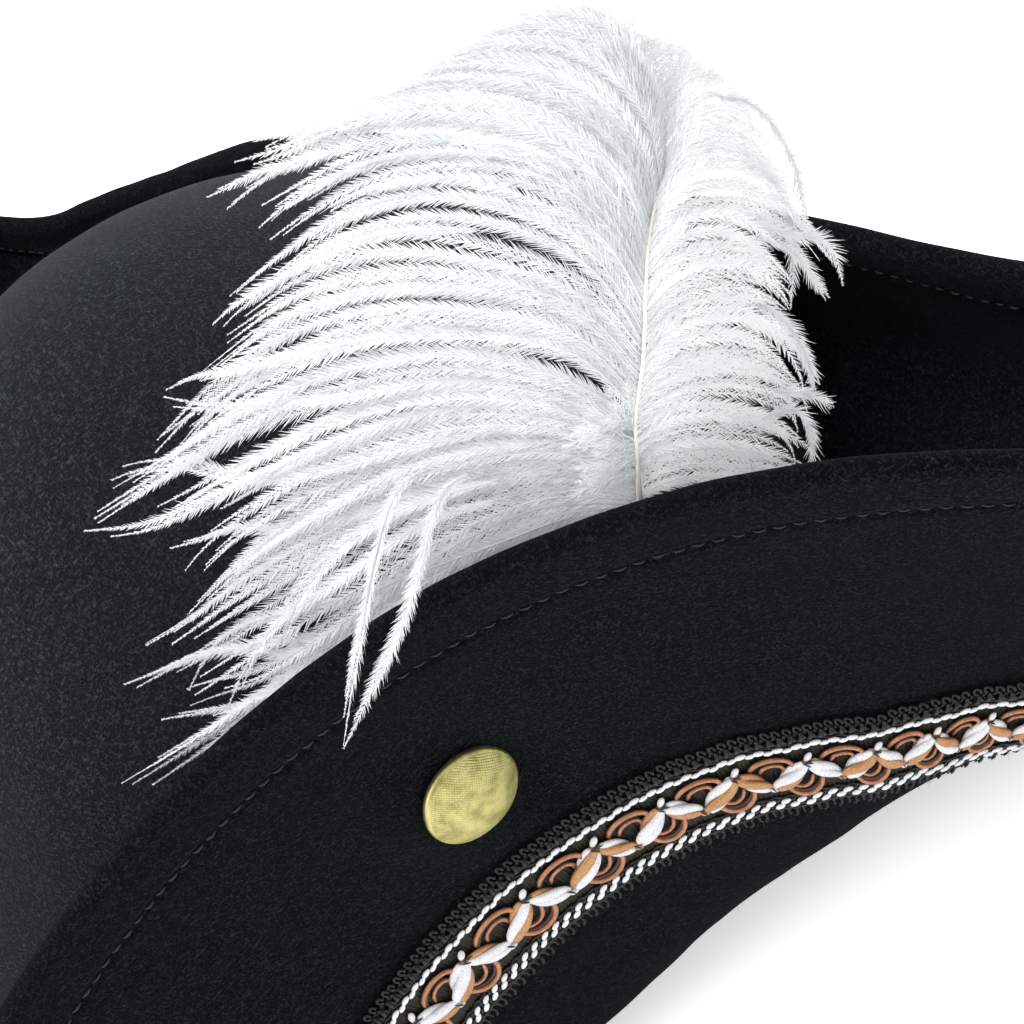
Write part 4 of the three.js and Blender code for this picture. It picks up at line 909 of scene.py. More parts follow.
def join_barbs(parts, stem, replaces, mat=None):
    limit = 180000
    chunk, count, k = [], 0, 0

    def flush():
        nonlocal chunk, count, k
        if not chunk:
            return
        bag = Bag()
        for v, f in chunk:
            bag.add(v, f)
        V, F, _ = bag.arrays()
        make_mesh("%s_%d" % (stem, k), V, F, body="feather", mat=mat or M_PLUME, slot="plume", smooth=False, replaces=replaces if k == 0 else ())
        chunk, count, k = [], 0, k + 1

    for v, f in parts:
        if count + len(f) > limit:
            flush()
        chunk.append((v, f))
        count += len(f)
    flush()


def build_plume():
    rng = np.random.default_rng(77)
    gap = 0.95 if QUICK else 0.46
    left = grow_barbs(BARBS_LEFT, 185, 2.5, 2.4, rng, gap=gap, clumps=34, gather=0.62, cut=(0.88, 1.0), droop=5.0, arch=3.6,
                      gaps=((0.475, 0.08, 0.60, 1.5), (0.535, 0.18, 0.50, 1.2), (0.42, 0.12, 0.40, 0.8), (0.60, 0.30, 0.58, 0.9), (0.345, 0.06, 0.30, 1.4), (0.11, 0.42, 0.85, 1.7), (0.215, 0.60, 1.0, 1.6), (0.30, 0.50, 1.0, 1.3), (0.39, 0.55, 1.0, 1.3), (0.60, 0.55, 1.0, 1.6), (0.68, 0.60, 1.0, 1.3)))
    right = grow_barbs(BARBS_RIGHT, 140, 2.3, 1.8, rng, gap=gap, clumps=24, gather=0.66, cut=(0.80, 1.05), gaps=((0.50, 0.45, 1.0, 1.6), (0.33, 0.5, 1.0, 1.3), (0.72, 0.5, 1.0, 1.2)))
    join_barbs(left, "plume_barbs_left", ("feather_vane_left",))
    join_barbs(right, "plume_barbs_right_painted_light", ("feather_vane_right",), M_PLUME_R_PAINTED_LIGHT)
    loose = []
    for k in range(len(BARBS_LOOSE)):
        for rep in range(3):
            key = BARBS_LOOSE[k] + rng.normal(0, 0.9, 3) * np.linspace(0, 1, 7)[:, None] ** 1.4 * (rep > 0)
            key = key + PLUME_FACE * 1.6 * np.minimum(np.linspace(0, 1, 7) * 3, 1)[:, None]      # clear of the rim
            P = catmull_open(key, np.linspace(0, 1 - 0.08 * rep, 24))
            loose.append(barb_mesh(P, rng.normal(0, 0.4) + np.zeros(24), 2.7 - 0.5 * rep, gap, 0.14, rng))
    # down round the base of the quill
    for k in range(90):
        t = rng.uniform(0.24, 0.36)
        root = catmull_open(RACHIS, np.array([t]))[0]
        a = rng.uniform(0, 2 * np.pi)
        out = unit(np.array([math.cos(a), 0.25 + 0.2 * math.sin(a), 0.42 + 0.3 * abs(math.sin(a))]))
        L = rng.uniform(6, 13)
        x = np.linspace(0, 1, 12)[:, None]
        P = root + out * L * x + np.array([0, 0.05, -0.12]) * L * x ** 2 + rng.normal(0, 0.5, 3) * x ** 2
        loose.append(barb_mesh(P, np.full(12, rng.normal(0, 0.6)), 2.2, gap * 1.3, 0.4, rng))
    join_barbs(loose, "plume_down", ())
    n, m = 90, 12
    t = np.linspace(0, 1, n)
    P = catmull_open(RACHIS, t)
    T = unit(np.gradient(P, axis=0))
    N = unit(PLUME_FACE - T * (T @ PLUME_FACE)[:, None])
    S = np.cross(T, N)
    r = np.where(t < 0.22, 1.25 - 2.6 * t, 0.30 * (1 - t) ** 0.8 + 0.11)
    r = np.convolve(np.pad(r, 4, mode="edge"), np.ones(9) / 9, mode="valid")[:, None, None]
    a = np.linspace(0, 2 * np.pi, m, endpoint=False)
    groove = (1 - 0.18 * np.exp(-((a - np.pi / 2) / 0.35) ** 2))[None, :, None]
    V = P[:, None] + (S[:, None] * np.cos(a)[None, :, None] + N[:, None] * np.sin(a)[None, :, None]) * r * groove
    make_mesh("plume_rachis", V.reshape(-1, 3), np.concatenate([grid_faces(n, m), cap_faces(n, m)]), body="feather", mat=M_QUILL, slot="quill", replaces=("feather_quill",))


# ------------------------------------------------------------------ felt
def wobble(P, amp, scale, seed):
    """Smooth random field of the position, for the small unevenness of blocked felt."""
    r = np.random.default_rng(seed)
    out = np.zeros(P.shape[:-1])
    for k in range(7):
        a = r.normal(size=3)
        a = a / np.linalg.norm(a) * r.uniform(0.6, 1.5) / scale * 2 * np.pi
        out += np.sin(P @ a + r.uniform(0, 6.28))
    return out * amp / 2.6


def hem_offsets():
    """(w, d) of the brim's outline: outer face, and inner face with the folded hem."""
    o, i = [], []
    e0, mid_d, half_t = 1.4, -0.75, 2.5
    nose = [(e0 + 2.6 * (1 - math.cos(math.radians(a))), mid_d + half_t * math.sin(math.radians(a))) for a in np.linspace(-90, 90, 15)]
    for w in list(np.arange(5.0, 17.5, 0.55)):
        g = math.exp(-((w - 12.9) / 0.75) ** 2)
        puff = 0.28 * math.exp(-((w - 8.0) / 4.2) ** 2) + 0.10 * math.exp(-((w - 15.4) / 1.6) ** 2)
        o.append((w, HALF + puff - 0.60 * g))
    for w in list(np.arange(5.0, 14.2, 0.6)):
        g = math.exp(-((w - 12.9) / 0.75) ** 2)
        i.append((w, mid_d - half_t - 0.1 - 0.25 * math.exp(-((w - 8.0) / 3.6) ** 2) + 0.7 * g))
    i += [(14.35, mid_d - half_t + 0.25), (14.6, mid_d - half_t + 0.9), (14.7, -HALF - 0.25), (15.2, -HALF)]
    return nose, o, i


def tilt_frame():
    """Frame of the near button: its shank pulls the felt, so cap and felt lean together."""
    o = surf(*BUTTONS["near"], HALF)
    z = unit(surf(*BUTTONS["near"], HALF + 1.0) - o)
    x = unit(surf(BUTTONS["near"][0] + 0.1, BUTTONS["near"][1], HALF) - surf(BUTTONS["near"][0] - 0.1, BUTTONS["near"][1], HALF))
    y = np.cross(z, x)
    goal = unit(0.543 * np.array([0.74272, -0.43554, -0.50859]) - 0.472 * np.array([0.66959, 0.48496, 0.56254]) + 0.695 * np.array([0.00164, -0.75837, 0.65183]))
    side = unit(goal - z * (goal @ z))
    n = z * math.cos(math.radians(19)) + side * math.sin(math.radians(19))
    return o, x, y, z, n


def pulled(P, reach=21.0):
    """Moves felt round the near button with its lean."""
    o, x, y, z, n = tilt_frame()
    rel = P - o
    X, Y, Z = rel @ x, rel @ y, rel @ z
    a, b = -(n @ x) / (n @ z), -(n @ y) / (n @ z)
    r = np.hypot(X, Y)
    g = np.clip(1 - (r / reach) ** 2, 0, 1) ** 2 * (np.abs(Z) < 9)
    return P + z * ((a * X + b * Y) * g)[..., None]


def build_brim():
    nose, o, i = hem_offsets()
    n = 420 if QUICK else 560
    u = np.arange(n) * NCOL / n
    tot = total_at(u)
    w_out = list(np.arange(18.5, 96, 2.6 if QUICK else 1.9))
    fr = np.linspace(0, 1, 18)[1:]
    sec_w, sec_d = [], []

    def put(w, d):
        sec_w.append(np.broadcast_to(np.asarray(w, float), (n,)))
        sec_d.append(np.broadcast_to(np.asarray(d, float), (n,)))

    last = np.minimum(95.0, tot - 12)
    for w, d in nose:
        put(w, d)
    for w, d in o:
        put(w, d)
    for w in w_out:
        put(17.5 + (w - 17.5) * (last - 17.5) / (95.0 - 17.5), HALF)
    for f in fr:
        put(last + (tot - last) * f, HALF)
    put(tot + 0.0, 0.0)
    for f in fr[::-1]:
        put(last + (tot - last) * f, -HALF)
    for w in w_out[::-1]:
        put(17.5 + (w - 17.5) * (last - 17.5) / (95.0 - 17.5), -HALF)
    for w, d in i[::-1]:
        put(w, d)
    W = np.stack(sec_w, 1)
    D = np.stack(sec_d, 1)
    s_edge = np.concatenate([[0], np.cumsum(np.linalg.norm(np.diff(surf(u, 12.9, 0), axis=0), axis=1))])
    U = np.broadcast_to(u[:, None], W.shape)
    P = surf(U, W, D)
    N = unit(P - surf(U, W, D - 0.5))
    amp = 0.26 * np.clip((np.abs(W - 0) + 4) / 30, 0.35, 1)
    P = P + N * (wobble(P, 1.0, 46, 5) * amp + wobble(P, 0.12, 15, 6))[..., None]
    # pull of the stitches: small puckers beside the seam
    near = np.exp(-((W - 12.9) / 3.0) ** 2)
    S = np.broadcast_to(s_edge[:, None], W.shape)
    P = P + N * (near * 0.10 * np.sin(S * 2 * np.pi / 11.3 + 2.0 * np.sin(S * 0.05)))[..., None]
    P = pulled(P)
    F = grid_faces(n, W.shape[1], close_n=True, close_m=True)
    return make_mesh("felt_brim", P.reshape(-1, 3), F[:, ::-1], mat=M_BRIM_SHADED, slot="felt", replaces=("brim",))


def crown_scale(z, H=CROWN_H, wall=CROWN_WALL):
    q = np.clip((z - wall) / (H - wall), 0, 1)
    return (1 - q ** CROWN_POW) ** (1 / CROWN_POW) * (1 - 0.03 * np.minimum(1, z / wall))


def crown_surface(theta, f, inset):
    """theta round, f 0..1 up the profile (by angle), inset 0 outside, FELT inside."""
    H = CROWN_H - inset
    z = np.where(f < 0.35, 1.7 + f / 0.35 * (CROWN_WALL - 1.7), CROWN_WALL + (H - CROWN_WALL) * np.sin((np.clip(f, 0.35, 1) - 0.35) / 0.65 * np.pi / 2) ** 1.0)
    s = np.maximum(crown_scale(z, H), 1e-4)
    return crown_point(theta, s, -inset * np.sqrt(s), z)


def build_crown():
    nt, nf = (150, 60) if QUICK else (220, 90)
    th = np.arange(nt) * 2 * np.pi / nt
    f = np.linspace(0, 0.9995, nf)
    T, Fq = np.meshgrid(th, f, indexing="ij")
    out = crown_surface(T, Fq, 0.0)
    inn = crown_surface(T, Fq, FELT)
    c = out.mean((0, 1))
    out = out + unit(out - c) * (wobble(out, 0.55, 70, 9) + wobble(out, 0.12, 17, 10))[..., None]
    G = np.concatenate([out, inn[:, ::-1]], 1)
    m = G.shape[1]
    V = G.reshape(-1, 3)
    faces = grid_faces(nt, m, close_n=True, close_m=True)
    # the two tips: leave out the thin bridge between outer and inner crown tops
    keep = (faces % m).max(1) - (faces % m).min(1) < m - 1
    j = faces[:, 0] % m
    bridge = (j == nf - 1)
    V = list(V)
    tips = []
    for col in (nf - 1, nf):
        ring = np.arange(nt) * m + col
        p = np.mean([V[k] for k in ring], 0)
        V.append(p)
        tips.append((ring, len(V) - 1))
    fan = []
    for (ring, tip), flip in zip(tips, (False, True)):
        for k in range(0, nt, 2):
            q = [ring[k], ring[(k + 1) % nt], ring[(k + 2) % nt], tip]
            fan.append(q[::-1] if flip else q)
    faces = np.concatenate([faces[~bridge], np.array(fan)])
    return make_mesh("felt_crown", np.array(V), faces, mat=M_FELT, slot="felt", replaces=("crown",))


def build_sweatband():
    n = 720
    a = np.arange(n) * 2 * np.pi / n
    sec = [(-FELT - 0.6, 2.2), (-FELT - 1.6, 2.0), (-FELT - 1.75, 3.0)]
    for k, z in enumerate(np.linspace(4, 30, 14)):
        sec.append((-FELT - 1.7 - 0.3 * z / 31, z))
    sec += [(-FELT - 1.9, 31.0), (-FELT - 1.4, 31.5), (-FELT - 1.0, 31.0), (-FELT - 0.8, 16)]
    rib = 0.10 * np.sin(a * 360)
    G = np.stack([crown_point(a, 1 - 0.03 * z / CROWN_WALL, g + rib * (0 if k in (0, 18) else 1), z) for k, (g, z) in enumerate(sec)], 1)
    V = G.reshape(-1, 3)
    return make_mesh("sweatband_ribbed", V, grid_faces(n, len(sec), close_n=True), mat=M_BAND, slot="sweatband", replaces=("sweatband",))


def build_stitches():
    """Short thread stitches lying in the seam of the hem, on both faces."""
    bag = Bag()
    fine = np.linspace(0, NCOL, 4201)
    for side, dd in ((1, HALF - 0.20), (-1, -3.15)):
        line = surf(fine, 12.9, dd)
        arc = np.concatenate([[0], np.cumsum(np.linalg.norm(np.diff(line, axis=0), axis=1))])
        n = int(arc[-1] / 3.3)
        for k in range(n):
            s0 = (k + 0.5) * arc[-1] / n
            s = s0 + np.linspace(-1.08, 1.08, 6)
            u = np.interp(s, arc, fine)
            w = 12.9 + RNG.normal() * 0.07 + np.linspace(-0.12, 0.12, 6)
            lift = dd + 0.28 * side * np.sin(np.linspace(0, np.pi, 6)) + (-0.12 * side)
            P = surf(u, w, lift)
            T = unit(np.gradient(P, axis=0))
            Nn = unit(surf(u, w, lift + 1.0) - P)
            B2 = np.cross(T, Nn)
            a = np.linspace(0, 2 * np.pi, 6, endpoint=False)
            r = 0.20 * np.array([0.5, 0.9, 1, 1, 0.9, 0.5])[:, None, None]
            V = P[:, None] + (Nn[:, None] * np.cos(a)[None, :, None] + B2[:, None] * np.sin(a)[None, :, None]) * r
            bag.add(V.reshape(-1, 3), np.concatenate([grid_faces(6, 6), cap_faces(6, 6)]))
    V, F, _ = bag.arrays()
    return make_mesh("hem_stitches", V, F, mat=M_THREAD, slot="thread", replaces=("hem_stitch_row",))


def ribbons(P, D, N, length, width, bend, segs=2):
    """Many tiny flat fibres. P start, D direction, N up, all (n, 3); returns verts and quads."""
    n = len(P)
    S = unit(np.cross(D, N))
    rows = []
    for k in range(segs + 1):
        t = k / segs
        c = P + D * (length * t)[:, None] + N * (bend * t * t * length)[:, None]
        h = (width * (1 - 0.75 * t))[:, None]
        rows += [c - S * h, c + S * h]
    V = np.stack(rows, 1).reshape(-1, 3)
    m = 2 * (segs + 1)
    base = np.arange(n)[:, None, None] * m
    quads = np.array([[2 * k, 2 * k + 1, 2 * k + 3, 2 * k + 2] for k in range(segs)])[None]
    return V, (base + quads).reshape(-1, 4)


def nap_points(P, N, n, name, mat, slot, lo=0.7, hi=2.2, w=0.028):
    D = unit(np.cross(N, RNG.normal(size=N.shape)) + N * RNG.uniform(0.05, 0.55, (len(N), 1)))
    L = RNG.uniform(lo, hi, len(P))
    V, F = ribbons(P, D, N, L, np.full(len(P), w) * RNG.uniform(0.6, 1.3, len(P)), RNG.uniform(-0.45, 0.25, len(P)))
    return make_mesh(name, V, F, mat=mat, slot=slot, smooth=False)


def build_nap():
    n = 14000 if QUICK else 46000
    u = RNG.uniform(0, NCOL, n)
    f = RNG.uniform(0, 1, n)
    tot = total_at(u)
    side = RNG.uniform(size=n) < 0.62
    w = np.where(RNG.uniform(size=n) < 0.18, RNG.uniform(1.4, 6, n), 4 + f * (tot - 8))
    sh = shift_braid(u)
    on_braid = side & (w > 69 - sh) & (w < 96 - sh)
    keep = ~on_braid
    u, w, side = u[keep], w[keep], side[keep]
    hem = w < 14.0
    d = np.where(side, HALF + np.where(hem, 0.2, 0.0), -HALF - np.where(hem, 2.0, 0.0)) - np.where(side, 0.15, -0.15)
    P = surf(u, w, d)
    N = unit(surf(u, w, d + 1.0) - P) * np.where(side, 1, -1)[:, None]
    nap_points(pulled(P), N, len(P), "felt_nap_brim", M_NAP, "felt")
    n = 6000 if QUICK else 16000
    th = RNG.uniform(0, 2 * np.pi, n)
    f = RNG.uniform(0.02, 0.999, n) ** 0.8
    P = crown_surface(th, f, 0.15)
    e = 1e-3
    N = unit(np.cross(crown_surface(th + e, f, 0.0) - crown_surface(th - e, f, 0.0), crown_surface(th, np.minimum(f + e, 0.9999), 0.0) - crown_surface(th, f - e, 0.0)))
    c = np.array([0, 0, 40.0])
    N = N * np.sign(np.sum(N * (P - c), 1))[:, None]
    nap_points(P, N, len(P), "felt_nap_crown", M_NAP, "felt")


# ------------------------------------------------------------------ buttons
def panel_frame(u, w, d):
    o = surf(u, w, d)
    z = unit(surf(u, w, d + 1.0) - o)
    x = unit(surf(np.asarray(u) + 0.1, w, d) - surf(np.asarray(u) - 0.1, w, d))
    y = np.cross(z, x)
    return o, x, y, z


def lathe_on(u, w, prof, seg, name, mat, slot, replaces, dent=0.0):
    o, x, y, z = panel_frame(u, w, HALF)
    if (u, w) == BUTTONS["near"]:
        z = tilt_frame()[4]
        x = unit(x - z * (x @ z))
        y = np.cross(z, x)
    prof = np.array(prof, float)
    a = np.arange(seg) * 2 * np.pi / seg
    R_, Z_ = prof[:, 0], prof[:, 1]
    V = o + (np.cos(a)[:, None, None] * x + np.sin(a)[:, None, None] * y) * R_[None, :, None] + z * Z_[None, :, None]
    if dent:
        V = V + z * (wobble(V, dent, 9, 31))[..., None]
    hx = (np.cos(a)[:, None] * R_[None]).ravel()
    hy = (np.sin(a)[:, None] * R_[None]).ravel()
    return make_mesh(name, V.reshape(-1, 3), grid_faces(seg, len(prof), close_n=True, close_m=False), mat=mat, slot=slot, replaces=replaces,
                     colors={"hx": hx, "hy": hy, "hr": np.hypot(hx, hy)})


def build_buttons():
    for k, (u, w) in BUTTONS.items():
        prof = [(0.02, 0.85), (5.0, 0.85), (6.8, 0.85), (8.6, 0.45), (9.05, 0.55), (9.28, 0.95), (9.36, 1.35), (9.28, 1.75), (9.02, 2.08), (8.7, 2.27),
                (8.35, 2.45), (7.9, 2.72), (7.2, 3.08), (6.3, 3.45), (5.2, 3.80), (4.0, 4.08), (2.8, 4.27), (1.6, 4.38), (0.7, 4.43), (0.02, 4.44)]
        lathe_on(u, w, prof, 96, "brass_button_" + k, M_BRASS, "brass", ("button_cap_" + k,), dent=0.05)
        shank = [(0.01, -FELT - 1.7), (1.0, -FELT - 1.65), (1.45, -FELT - 1.3), (1.45, 0.2), (1.5, 0.8), (0.01, 0.8)]
        lathe_on(u, w, shank, 24, "brass_shank_" + k, M_BRASS, "brass", ("button_shank_" + k,))
        wash = [(1.9, -FELT - 1.05), (2.4, -FELT - 1.2), (4.7, -FELT - 1.15), (5.2, -FELT - 0.9), (5.2, -FELT - 0.5), (4.8, -FELT - 0.3), (1.9, -FELT - 0.3), (1.9, -FELT - 1.05)]
        lathe_on(u, w, wash, 48, "backing_washer_" + k, M_WASHER, "washer", ("button_washer_" + k,))


def build_holder():
    o = RACHIS[0]
    z = unit(RACHIS[3] - RACHIS[0])
    x = unit(np.cross(z, [0, 0, 1.0]))
    y = np.cross(z, x)
    prof = np.array([(2.35, 5.0), (3.4, 4.75), (4.5, 5.0), (4.75, 6.0), (4.7, 12), (4.75, 18.2), (4.4, 19.1), (3.4, 19.3), (2.35, 19.0), (2.3, 12)])
    seg = 64
    a = np.arange(seg) * 2 * np.pi / seg
    V = o + (np.cos(a)[:, None, None] * x + np.sin(a)[:, None, None] * y) * prof[None, :, :1] + z * prof[None, :, 1:]
    V = V + wobble(V, 0.07, 8, 44)[..., None]
    make_mesh("felt_quill_loop", V.reshape(-1, 3), grid_faces(seg, len(prof), close_n=True), mat=M_FELT, slot="felt", replaces=("feather_holder",))


# ------------------------------------------------------------------ braid trim
def dash(bag, s, w, d, length, ra, rb, tilt, m=8, n=9, power=0.6, **vals):
    t = np.linspace(0, 1, n)
    x = (t - 0.5) * length
    path = np.stack([s + x * math.cos(tilt), w + x * math.sin(tilt), np.full(n, d)], 1)
    taper = np.maximum(np.sin(np.pi * np.clip(t, 0.02, 0.98)), 0.05) ** power
    v, f = flat_tube(path, ra, rb, m=m, taper=taper)
    bag.add(v, f, **vals)


def curve_pts(pts, n):
    return catmull_open(np.array(pts, float), np.linspace(0, 1, n))


def build_ribbon():
    step = 0.30 if QUICK else 0.225
    n = int(ARC / step)
    s = np.arange(n) * ARC / n
    wv = np.concatenate([np.linspace(73.2, 92.9, 9)])
    rib = np.abs(np.sin(np.pi * s / 0.9))
    rows = []
    for k, w in enumerate(wv):
        edge = 0.25 if k in (0, len(wv) - 1) else 0.0
        rows.append(braid(s, np.full(n, w), 0.62 + 0.26 * rib - edge))
    for w in np.linspace(92.9, 73.2, 9):
        rows.append(braid(s, np.full(n, w), np.full(n, 0.12)))
    V = np.stack(rows, 1)
    return make_mesh("braid_ribbon", V.reshape(-1, 3), grid_faces(n, V.shape[1], close_n=True)[:, ::-1], mat=M_RIBBON, slot="trim_dark", replaces=("trim_ribbon",))


def build_lace():
    """Looped dark edge along the top of the braid: short curled cords in two staggered rows."""
    p = 3.4
    bag = Bag()

    def loop(cs, cw, rs, rw, r, d, a0, a1, n=13, lift=0.35, m=7):
        a = np.linspace(a0, a1, n)
        path = np.stack([cs + rs * np.cos(a), cw + rw * np.sin(a), d + lift * np.sin(a + 0.7)], 1)
        taper = 0.80 + 0.20 * np.sin(np.pi * np.linspace(0, 1, n))
        v, f = flat_tube(path, r, r * 0.95, m=m, taper=taper)
        bag.add(v, f, rnd=0.0)

    for k in range(2):
        o = 1.7 * k
        loop(0.45 + o, 70.35, 0.55, 0.52, 0.33, 1.25, 1.2 + 0.4 * k, 6.6, lift=0.30)
        loop(1.15 + o, 71.55, 0.58, 0.50, 0.34, 1.30, -1.2, 3.9 + 0.3 * k, lift=-0.30)
        t = np.linspace(0, 1, 8)
        path = np.stack([0.25 + o + 0.62 * t, 73.5 - 2.2 * t, 0.95 + 0.80 * np.sin(np.pi * (0.15 + 0.8 * t))], 1)
        v, f = flat_tube(path, 0.40, 0.36, m=7, taper=0.7 + 0.3 * np.sin(np.pi * t))
        bag.add(v, f, rnd=0.0)
        path = np.stack([1.35 + o - 0.35 * t, 73.2 - 1.4 * t, 1.15 + 0.45 * np.sin(np.pi * t)], 1)
        v, f = flat_tube(path, 0.30, 0.28, m=6, taper=0.6 + 0.4 * np.sin(np.pi * t))
        bag.add(v, f, rnd=0.0)
    for k in range(2):
        t = np.linspace(0, 1, 9)
        path = np.stack([t * p, 73.5 + 0.26 * np.sin(4 * np.pi * t + k * np.pi), 0.95 + 0.25 * np.cos(4 * np.pi * t + k * np.pi)], 1)
        v, f = flat_tube(path, 0.28, m=6)
        bag.add(v, f, rnd=0.0)
    V, F, C = tile(bag, p, 0.0, jitter=0.20)
    return make_mesh("braid_lace_edge", V, F, mat=M_LACE, slot="trim_dark", colors=C, replaces=("trim_lace_edge",))


def build_picots():
    p = 2.9
    bag = Bag()
    a = np.linspace(2.5, 7.9, 14)
    path = np.stack([0.8 + 0.72 * np.cos(a), 94.3 + 0.80 * np.sin(a), 0.85 + 0.30 * np.sin(a)], 1)
    v, f = flat_tube(path, 0.33, 0.30, m=7)
    bag.add(v, f, rnd=0.0)
    t = np.linspace(0, 1, 7)
    for s0, s1 in ((0.2, -0.35), (1.35, 1.95)):
        path = np.stack([s0 + (s1 - s0) * t, 93.9 - 1.3 * t, 0.8 + 0.2 * np.sin(np.pi * t)], 1)
        v, f = flat_tube(path, 0.28, m=6)
        bag.add(v, f, rnd=0.0)
    for k in range(2):
        t = np.linspace(0, 1, 9)
        path = np.stack([t * p, 93.0 + 0.22 * np.sin(2 * np.pi * t + k * np.pi), 0.85 + 0.2 * np.cos(2 * np.pi * t + k * np.pi)], 1)
        v, f = flat_tube(path, 0.24, m=6)
        bag.add(v, f, rnd=0.0)
    V, F, C = tile(bag, p, 0.4, jitter=0.08)
    return make_mesh("braid_picot_edge", V, F, mat=M_LACE, slot="trim_dark", colors=C, replaces=("trim_picot_edge",))


def build_chains():
    # upper: dashes in close pairs over a dark cord
    p = 3.1
    bag = Bag()
    dash(bag, 0.80, 74.90, 1.40, 1.95, 0.60, 0.40, -0.20, power=0.42, rnd=0.0)
    dash(bag, 2.30, 75.42, 1.34, 1.75, 0.52, 0.36, -0.22, power=0.42, rnd=0.0)
    V, F, C = tile(bag, p, 0.6, jitter=0.06)
    make_mesh("braid_chain_upper", V, F, mat=M_WHITE, slot="trim_white", colors=C, replaces=("trim_chain_upper",))
    # lower: two rows half a step apart
    p2 = 2.9
    bag = Bag()
    dash(bag, 0.60, 90.35, 1.40, 2.05, 0.56, 0.38, -0.40, power=0.42, rnd=0.0)
    dash(bag, 2.05, 91.62, 1.38, 2.05, 0.56, 0.38, -0.40, power=0.42, rnd=0.0)
    V, F, C = tile(bag, p2, 0.2, jitter=0.06)
    make_mesh("braid_chain_lower", V, F, mat=M_WHITE, slot="trim_white", colors=C, replaces=("trim_chain_lower",))
    # dark plies between the white dashes
    bag = Bag()
    for w, r in ((74.35, 0.26), (75.9, 0.26)):
        t = np.linspace(0, 1, 9)
        path = np.stack([t * p, w + 0.16 * np.sin(2 * np.pi * t), 1.0 + 0.12 * np.cos(2 * np.pi * t)], 1)
        v, f = flat_tube(path, r, m=6)
        bag.add(v, f, rnd=0.0)
    dash(bag, 1.5, 75.2, 1.12, 1.6, 0.5, 0.30, -0.75, rnd=0.0)
    dash(bag, 3.05, 75.2, 1.12, 1.6, 0.5, 0.30, -0.75, rnd=0.0)
    V, F, C = tile(bag, p, 0.6)
    make_mesh("braid_dark_ply_upper", V, F, mat=M_LACE, slot="trim_dark", colors=C)
    bag = Bag()
    for w in (89.45, 92.55):
        t = np.linspace(0, 1, 9)
        path = np.stack([t * p2, w + 0.14 * np.sin(2 * np.pi * t), 1.0 + 0.12 * np.cos(2 * np.pi * t)], 1)
        v, f = flat_tube(path, 0.30, m=6)
        bag.add(v, f, rnd=0.0)
    dash(bag, 2.05, 90.30, 1.08, 1.5, 0.5, 0.30, -0.8, rnd=0.0)
    dash(bag, 0.60, 91.72, 1.08, 1.5, 0.5, 0.30, -0.8, rnd=0.0)
    V, F, C = tile(bag, p2, 0.2)
    make_mesh("braid_dark_ply_lower", V, F, mat=M_LACE, slot="trim_dark", colors=C)


def copper_cord(bag, pts, r, n, m=9):
    """Gimp cord following (s, w, d) points."""
    P = curve_pts(pts, n)
    x = np.linspace(0, 1, n)
    v, f = flat_tube(P, r, r * 0.92, m=m, taper=0.55 + 0.45 * np.minimum(1, np.minimum(x, 1 - x) * 9))
    bag.add(v, f, rnd=0.0, along=np.repeat(x, m))


UP_OUT = [(2.1, 79.9, 1.15), (3.2, 78.4, 1.45), (4.9, 77.4, 1.6), (6.9, 77.1, 1.65), (8.8, 77.7, 1.65), (9.8, 79.1, 1.6), (9.6, 80.9, 1.45), (8.6, 82.4, 1.2)]
UP_IN = [(3.7, 81.3, 1.1), (4.5, 79.8, 1.35), (6.0, 79.0, 1.5), (7.5, 79.2, 1.5), (8.1, 80.4, 1.4), (7.8, 82.0, 1.1)]
LO_OUT = [(7.2, 84.3, 1.1), (7.7, 86.1, 1.45), (8.8, 87.9, 1.6), (10.6, 88.7, 1.65), (12.4, 88.3, 1.6), (13.7, 86.9, 1.5), (14.2, 85.2, 1.2)]
LO_IN = [(8.4, 84.0, 1.05), (9.1, 85.8, 1.4), (10.6, 86.4, 1.5), (12.0, 85.6, 1.45), (12.7, 84.0, 1.15)]


def build_copper():
    bag = Bag()
    n = 16 if QUICK else 24
    copper_cord(bag, UP_OUT, 0.46, n)
    copper_cord(bag, UP_IN, 0.37, n - 4)
    copper_cord(bag, LO_OUT, 0.46, n)
    copper_cord(bag, LO_IN, 0.37, n - 4)
    V, F, C = tile(bag, PITCH, PHASE, jitter=0.10)
    make_mesh("braid_copper_cord", V, F, mat=M_COPPER, slot="trim_copper", colors=C, replaces=("trim_cord_copper",))
    bag = Bag()
    for pts, off in ((UP_OUT, (0, 0.75)), (LO_OUT, (0, -0.75))):
        P = curve_pts(pts, 14) + np.array([0, off[1], -0.35])
        v, f = flat_tube(P, 0.33, m=6)
        bag.add(v, f, rnd=0.0)
    V, F, C = tile(bag, PITCH, PHASE, jitter=0.05)
    make_mesh("braid_maroon_core", V, F, mat=M_MAROON, slot="trim_dark", colors=C)


